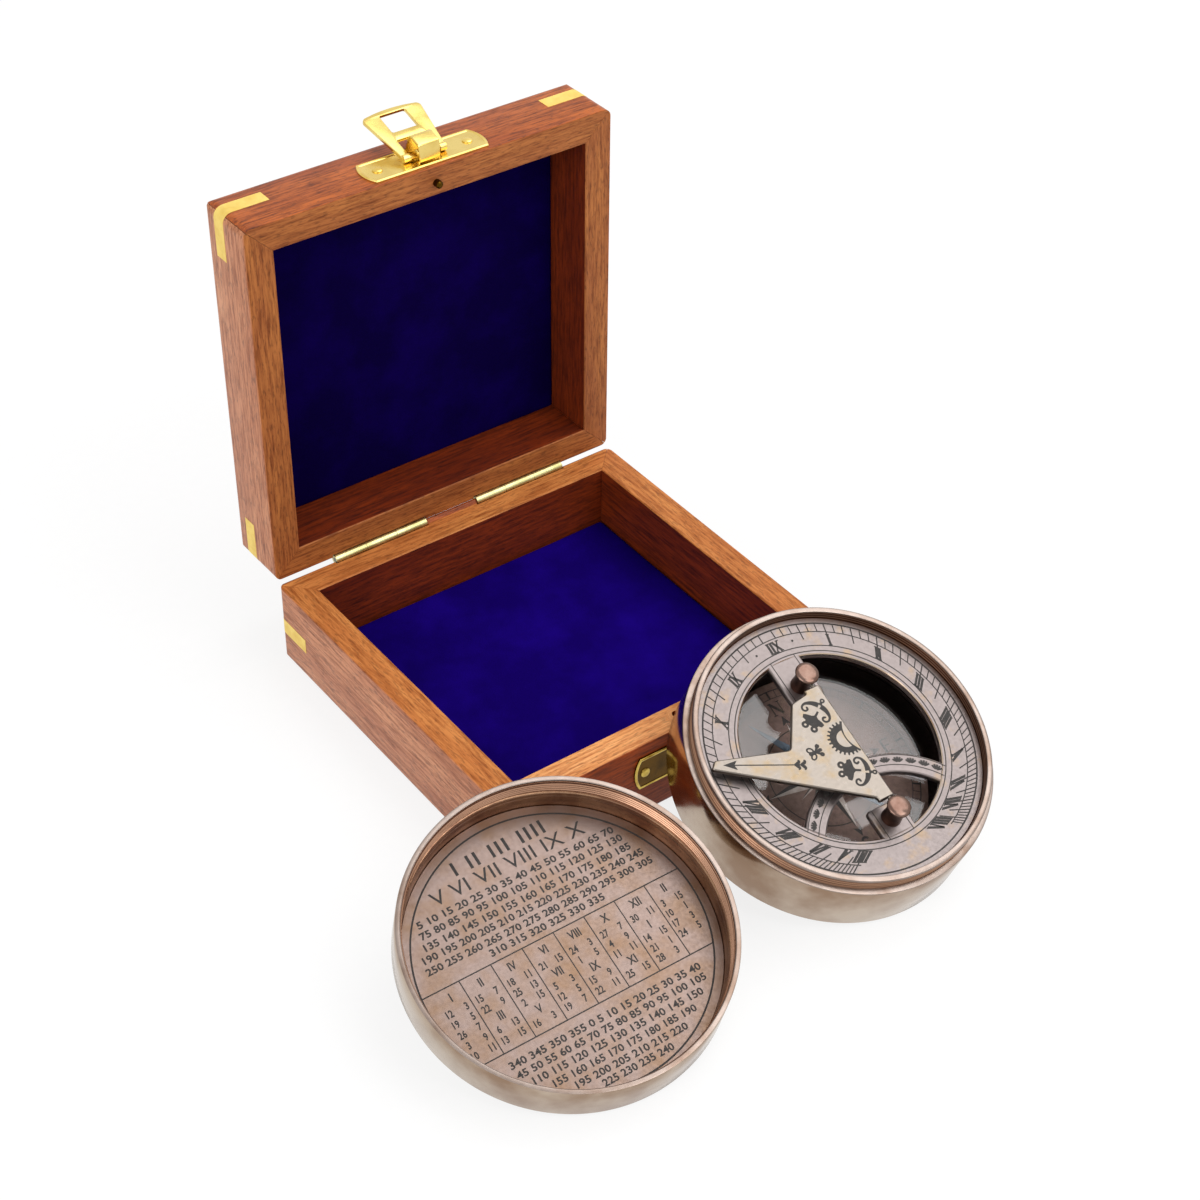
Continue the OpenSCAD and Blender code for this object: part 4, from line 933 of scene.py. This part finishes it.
def flowing(points, steps=6):
    """Smooth path through points (x, y, width): a cubic from each to the next, whose slope at a point is half
    the step from the point before to the point after."""
    p = np.asarray(points, float)
    p = np.vstack([2*p[0] - p[1], p, 2*p[-1] - p[-2]])
    t = np.linspace(0, 1, steps, endpoint=False)[:, None]
    parts = [b + 0.5*t*(c - a + t*(2*a - 5*b + 4*c - d + t*(3*b - a - 3*c + d)))
             for a, b, c, d in zip(p, p[1:], p[2:], p[3:])]
    return np.vstack(parts + [p[-2:-1]])


# A curled limb as (x, y, width), and half the outline of the leaf's stem
LIMB = [(2.35, 0.3, 1.3), (2.25, 1.1, 1.25), (1.85, 2.2, 1.0), (1.0, 3.25, 0.65), (0.0, 3.5, 0.5),
        (-0.65, 3.0, 0.5), (-0.6, 2.3, 0.5), (-0.05, 2.0, 0.5), (0.3, 2.35, 0.55), (0.2, 2.55, 0.5)]
STEM = [(0.75, 0.25), (-0.6, 0.3), (-1.0, 0.8), (-1.35, 2.2), (-1.65, 2.75), (-2.5, 2.5), (-2.7, 1.7),
        (-3.5, 1.4)]


def scrollwork(at, heading, side):
    """Two curled limbs that meet at a small ring, and between them the stem of a leaf with two curls."""
    a, b = facing(heading)
    b = side*b

    def put(points):
        points = np.atleast_2d(points)
        return at + np.outer(points[:, 0], a) + np.outer(points[:, 1], b)
    shapes = [stroke(put([(2.6, 0), (3.6, 0)]), (0.9, 0.5), blade_top)]
    shapes.append(stroke(put(arc(0.42, 0, 360, 20, (3.92, 0))), 0.4, blade_top + 0.001))
    for k in (-1, 1):
        line = flowing(np.array(LIMB)*(1, k, 1))
        shapes.append(stroke(put(line[:, :2]), line[:, 2], blade_top + 0.002 + 0.001*k))
        curl = arc(0.6, 0, 360, 20, (-3.9, 0.3 + 1.15*k))
        shapes.append(stroke(put(curl), 0.6, blade_top + 0.004 + 0.001*k))
    stem = np.vstack([STEM, np.array(STEM[::-1])*(1, -1)]) + (0, 0.3)
    shapes.append(patch(put(stem), blade_top + 0.006))
    return shapes


cuts = []
head, tail = np.array([(-30.7, 6.3), (-15.3, -1.1)])
way = unit(tail - head)
off = np.array([-way[1], way[0]])
cuts.append(patch([head, head + 3.3*way + 1.2*off, head + 2.6*way, head + 3.3*way - 1.2*off], blade_top))
cuts.append(stroke([head + 2.5*way, tail], 0.28, blade_top + 0.002))
for k, near in enumerate((-0.2, 1.2)):
    for side in (-1, 1):
        line = flowing([(near - 0.1, 0.05, 0.4), (near + 0.6, 0.4, 0.8), (near + 0.95, 0.85, 0.65),
                        (near + 0.7, 1.25, 0.3)], 5)
        path = tail + np.outer(line[:, 0], way) + np.outer(side*line[:, 1], off)
        cuts.append(stroke(path, line[:, 2], blade_top + 0.003 + 0.001*(side + 2*k)))
cuts.append(stroke([tail - 0.5*way, tail + 1.9*way], 0.35, blade_top + 0.008))
sun = np.array([-0.9, -0.5])
cuts.append(patch(np.vstack([arc(3.75, 74, 286, 48), arc(2.2, 278, 82, 36) - (0, 0.1)]) + sun, blade_top))
for k in range(14):
    d, e = facing(87 + 14.6*k)
    cuts.append(patch([sun + 3.6*d + 0.28*e, sun + 4.3*d + 0.22*e, sun + 4.45*d, sun + 4.3*d - 0.2*e,
                       sun + 3.6*d - 0.28*e], blade_top + 0.002))
widths = np.r_[np.linspace(0.6, 0.3, 12), [0.28]*6, np.linspace(0.3, 0.6, 12)]
cuts.append(stroke(arc(7.05, 144.5, 216.5, 30, (6.26, -0.45)), widths, blade_top + 0.004))
heart = np.array([-9.35, -0.4])
for k, (heading, far, wide) in enumerate(((140, 1.35, 0.55), (222, 1.35, 0.55), (45, 1.6, 0.28),
                                          (-45, 1.6, 0.28), (180, 1.2, 0.3), (0, 1.2, 0.22))):
    d, e = facing(heading)
    loop = arc(1, 0, 360, 22)
    path = heart + far*d + np.outer(loop[:, 0]*(0.75 if wide > 0.5 else 0.35), d) + np.outer(loop[:, 1]*wide, e)
    cuts.append(stroke(path, 0.4 if wide > 0.5 else 0.5, blade_top + 0.001*k))
    cuts.append(stroke([heart, heart + far*d*(0.5 if wide > 0.5 else 1)], 0.6, blade_top + 0.007 + 0.001*k))
cuts += scrollwork((-3.75, 7.95), 31.7, -1)
cuts += scrollwork((-3.1, -8.9), -28.6, 1)
piece("gnomon_engraving", cuts, GNOMON, "gnomon", black_fill, crease=60)


# Compass card and needle
piece("compass_card_disc", [lathe([(0, case_inside), (26.5, case_inside), (26.5, card_z), (0, card_z)], 144)],
      COMPASS, "compass", card_brown, "compass_card")
degree_out, degree_in = 24.6, 22.6
dark = [ring(degree_out, 0.25, card_top), ring(degree_in, 0.18, card_top), ring(13.4, 0.28, card_top)]
pale = []
for k in range(72):
    d = facing(5*k)[0]
    dark.append(stroke([degree_in*d, degree_out*d], 0.16 if k % 6 else 0.5, card_top + 0.001))
for k in range(16):
    a = 90 - 22.5*k
    d, e = facing(a)
    reach, wide, spread, up = ((15.5, 3.1, 45, 0.006) if k % 4 == 0 else
                               (12.6, 2.6, 22.5, 0.004) if k % 2 == 0 else (9.0, 2.0, 22.5, 0.002))
    for side, bag in ((-1, dark), (1, pale)):
        bag.append(patch([(0, 0), wide*facing(a + side*spread)[0], reach*d], card_top + up))
    if k % 4 == 0:
        dark.append(patch([d*17.6, d*15.0 + 1.15*e, d*15.5, d*15.0 - 1.15*e], card_top + 0.003))


# Letters as strokes in a unit square, each with its share of the full width
bow = arc(0.26, 20, 270, 14, (0.5, 0.74)), arc(0.26, 90, -160, 14, (0.5, 0.24))
LETTERS = {
    "N": [([(0.15, 0), (0.15, 1)], 0.4), ([(0.85, 0), (0.85, 1)], 0.4), ([(0.15, 1), (0.85, 0)], 1),
          ([(0, 1), (0.25, 1)], 0.35), ([(0.7, 1), (1, 1)], 0.35), ([(0, 0), (0.3, 0)], 0.35)],
    "S": [(bow[0], 0.9), (bow[1], 0.9)],
    "E": [([(0.2, 0), (0.2, 1)], 1), ([(0.1, 1), (0.85, 1)], 0.4), ([(0.2, 0.5), (0.7, 0.5)], 0.4),
          ([(0.1, 0), (0.85, 0)], 0.4)],
    "W": [([(0, 1), (0.28, 0)], 1), ([(0.5, 1), (0.28, 0)], 0.4), ([(0.5, 1), (0.76, 0)], 1),
          ([(1, 1), (0.76, 0)], 0.4)]}
letter_r, letter_h, letter_w = 19.8, 3.4, 0.7
for name, d in (("N", (0, 1)), ("E", (1, 0)), ("S", (0, -1)), ("W", (-1, 0))):
    for k, (path, weight) in enumerate(LETTERS[name]):
        path = letter_r*np.array(d) + letter_h*(np.array(path) - 0.5)
        dark.append(stroke(path, letter_w*weight, card_top + 0.003 + 0.001*k))
piece("card_rose_dark", dark, COMPASS, "compass", card_black, crease=60)
piece("card_rose_pale", pale, COMPASS, "compass", card_light, crease=60)

NEEDLE = COMPASS @ shift(0, 0, needle_z) @ turn("Z", needle_bearing)
blade_line = np.array([(0, 21.0), (-2.1, 0), (0, -21.0), (2.1, 0)])
blade_rows = [(0.05, 0), (0, 0.05), (0, 0.22), (0.7, 0.4)]
piece("needle_blade", [slab(blade_line, blade_rows)], NEEDLE, "needle", blued_steel, "needle",
      15)
cap = lathe([(0.55, -0.3), (1.2, -0.3), (1.2, 0.4), (1.8, 0.4), (1.75, 0.6), (1.4, 0.82), (0.8, 0.98), (0, 1.0),
             (0, 0.3), (0.55, 0.3)], 40)
piece("needle_cap_turned", [cap], NEEDLE, "needle", polished_brass, "needle_cap", 30)


# Screw lid
inner_thread = between(-4.9, -0.4, 36.4, 68)[::-1]
shell_profile = (underside(lid_low, -5, -0.25) + [(37.5, -0.07), (37.3, 0), (36.6, 0), (36.4, -0.12)]
                 + inner_thread + [(36.1, -5.0), (35.95, -5.2), (35.95, -5.9), (35.85, -6.1), (35.9, -6.3),
                                   (35.9, -7.2), (35.75, -7.6), (35.75, lid_inside), (0, lid_inside)])
shell_tones = [0]*8 + [1]*3 + [3]*len(inner_thread) + [2]*9
piece("turned_screw_lid", [lathe(shell_profile, 192, thread=0.4, tones=shell_tones)], COVER, "screw_lid",
      [case_metal, bright_edge, lid_metal, inner_thread_painted_shade], "screw_lid_shell", 30)
plate_disc = lathe([(0, lid_inside), (35.7, lid_inside), (35.7, -10.45), (35.55, plate_z), (0, plate_z)], 144)
piece("table_plate_disc", [plate_disc], COVER, "screw_lid", table_metal, "lid_table_plate")


def digits(text, x, y, tall, wide=0.0, bold=0.026):
    """A row of figures `tall` high with its middle at x, y, drawn out to `wide` or else left narrow."""
    line = bpy.data.curves.new("figures", "FONT")
    line.body, line.resolution_u, line.extrude, line.offset = text, 2, 0.05, bold
    p, faces, finish = from_curve(line)
    low, high = p.min(0), p.max(0)
    up = tall/(high[1] - low[1])
    p = (p - (low + high)/2)*(wide/(high[0] - low[0]) if wide else 0.78*up, up, 0.5)
    return p + (x, y, plate_top - 0.025), faces, finish


table = [ring(ruled_r, 0.42, plate_top)]
# Plain numerals, rows of figures five apart, and a ruled table with a numeral over each run of figure pairs
table.append(digits("I II III IIII", 0, 28.1, 3.4, 23.5, 0.0))
table.append(digits("V VI VII VIII IX X", 0, 23.7, 3.4, 39.5, 0.0))
count = 0
for y, wide in ((19.9, 51), (17.3, 52.5), (14.6, 53.5), (12.0, 57), (9.3, 58.5), (6.7, 29.5),
                (-17.7, 49), (-20.3, 48.5), (-22.9, 43.5), (-25.5, 36.5), (-28.1, 28.5), (-30.6, 18)):
    row = ""
    while len(row) < wide/1.28:
        count += 5
        row += f"{count % 360} "
    table.append(digits(row.strip(), 0, y, figure_h, wide))
for y in (ruled_top, ruled_low):
    reach = sqrt(ruled_r**2 - y*y)
    table.append(stroke([(-reach, y), (reach, y)], 0.3, plate_top - 0.002))
for k in range(-3, 4):
    table.append(stroke([(column_w*k, ruled_top), (column_w*k, ruled_low)], 0.26, plate_top - 0.004))
months = (("I",), ("II", "III"), ("IV", "V"), ("VI", "VII"), ("VIII", "IX"), ("X", "XI"), ("XII", "I"), ("II",))
for k, names in enumerate(months):
    x = column_w*(k - 3.5) + (0.5 if k == 0 else 0) - (0.3 if k == 7 else 0)
    at = {0: names[0]} if len(names) == 1 else {0: names[0], 2 + k % 3: names[1]}
    for line in range(6):
        y = 2.0 - 2.7*line - (0.55 if line else 0)
        if line in at:
            table.append(digits(at[line], x, y, 2.1))
        elif k < 7 or line < 5:
            for at_x, figure in ((-2.1, (4 + 7*line + 3*k) % 30 + 1), (2.1, (2*line + 4*k) % 16 + 1)):
                table.append(digits(str(figure), x + at_x, y, figure_h))
piece("table_plate_engraving", table, COVER @ turn("Z", plate_turn), "screw_lid", black_fill,
      crease=60)

for node, finish in (("hinge_pins", wire_steel), ("post_nuts", barrel_brass), ("needle_pivot", wire_steel)):
    frame["nodes"][node].data.materials.clear()
    frame["nodes"][node].data.materials.append(finish)


# Floor, light and camera
def looked_at(tree):
    """1 where the camera sees something, also in a mirror or through glass, and 0 where it lights something."""
    path = add(tree, "LightPath").outputs
    seen = path["Is Camera Ray"]
    for other in ("Is Glossy Ray", "Is Transmission Ray"):
        seen = add(tree, "Math", {0: seen, 1: path[other]}, operation="MAXIMUM").outputs[0]
    return seen


def floor():
    """White paper sweep: seen directly it is near white and keeps a soft shadow."""
    made, tree, place = shader("white paper")
    fibre = blend(tree, cloud(tree, place, 3.0, 2.0), 0.3, 0.7, linear("#F7F7F7"), linear("#FBFBFB"))
    paper = add(tree, "BsdfPrincipled", {"Base Color": fibre, "Roughness": 0.8})
    share = add(tree, "Math", {0: looked_at(tree), 1: 0.82}, operation="MULTIPLY")
    glow = add(tree, "Emission", {"Color": (1, 1, 1, 1), "Strength": 1.0})
    mix = add(tree, "MixShader", {0: share.outputs[0], 1: paper.outputs[0], 2: glow.outputs[0]})
    add(tree, "OutputMaterial", {"Surface": mix.outputs[0]})
    mesh = bpy.data.meshes.new("floor")
    mesh.from_pydata([(-6, -6, 0), (6, -6, 0), (6, 6, 0), (-6, 6, 0)], [], [(0, 1, 2, 3)])
    mesh.materials.append(made)
    placed("floor", mesh)


floor()
# White studio all round, weaker as a light than it looks
world = bpy.data.worlds.new("studio")
bpy.context.scene.world = world
world.use_nodes = True
tree = world.node_tree
tree.nodes.clear()
level = add(tree, "MapRange", {"Value": looked_at(tree), "To Min": 0.55, "To Max": 1.0})
sky = add(tree, "Background", {"Color": (1, 1, 1, 1), "Strength": level.outputs[0]})
add(tree, "OutputWorld", {"Surface": sky.outputs[0]})


def softbox(name, at, aim, size, power):
    """Square lamp at `at`, facing `aim`."""
    lamp = bpy.data.lights.new(name, "AREA")
    lamp.size, lamp.energy = size, power
    z = unit(np.subtract(at, aim))
    x = unit(np.cross((0, 0, 1), z))
    placed(name, lamp).matrix_world = Matrix(axes(at, x, np.cross(z, x), z).tolist())


softbox("ceiling_light", (0.72, -0.04, 1.34), (0.02, -0.085, 0.02), 1.2, 11)
softbox("key_light", (0.4, -1.0, 1.2), (0, 0, 0.05), 0.8, 7)
softbox("fill_light", (-1.2, -0.5, 0.8), (0, 0, 0.05), 1.0, 8)

# Camera as solved from the box's edges in the photograph
camera_at, look, right = (-0.2679, -0.3679, 0.4000), (0.4685, 0.6158, -0.6334), (0.8035, -0.5951, 0.0158)
look = unit(np.array(look))
right = unit(right - look*(look @ right))
lens = bpy.data.cameras.new("camera")
lens.sensor_width, lens.lens, lens.clip_start = 36.0, 71.02, 0.01
camera = placed("camera", lens)
camera.matrix_world = Matrix(axes(camera_at, right, np.cross(right, look), -look).tolist())
bpy.context.scene.camera = camera
bpy.context.scene.view_settings.view_transform = "Standard"

bpy.context.view_layer.update()
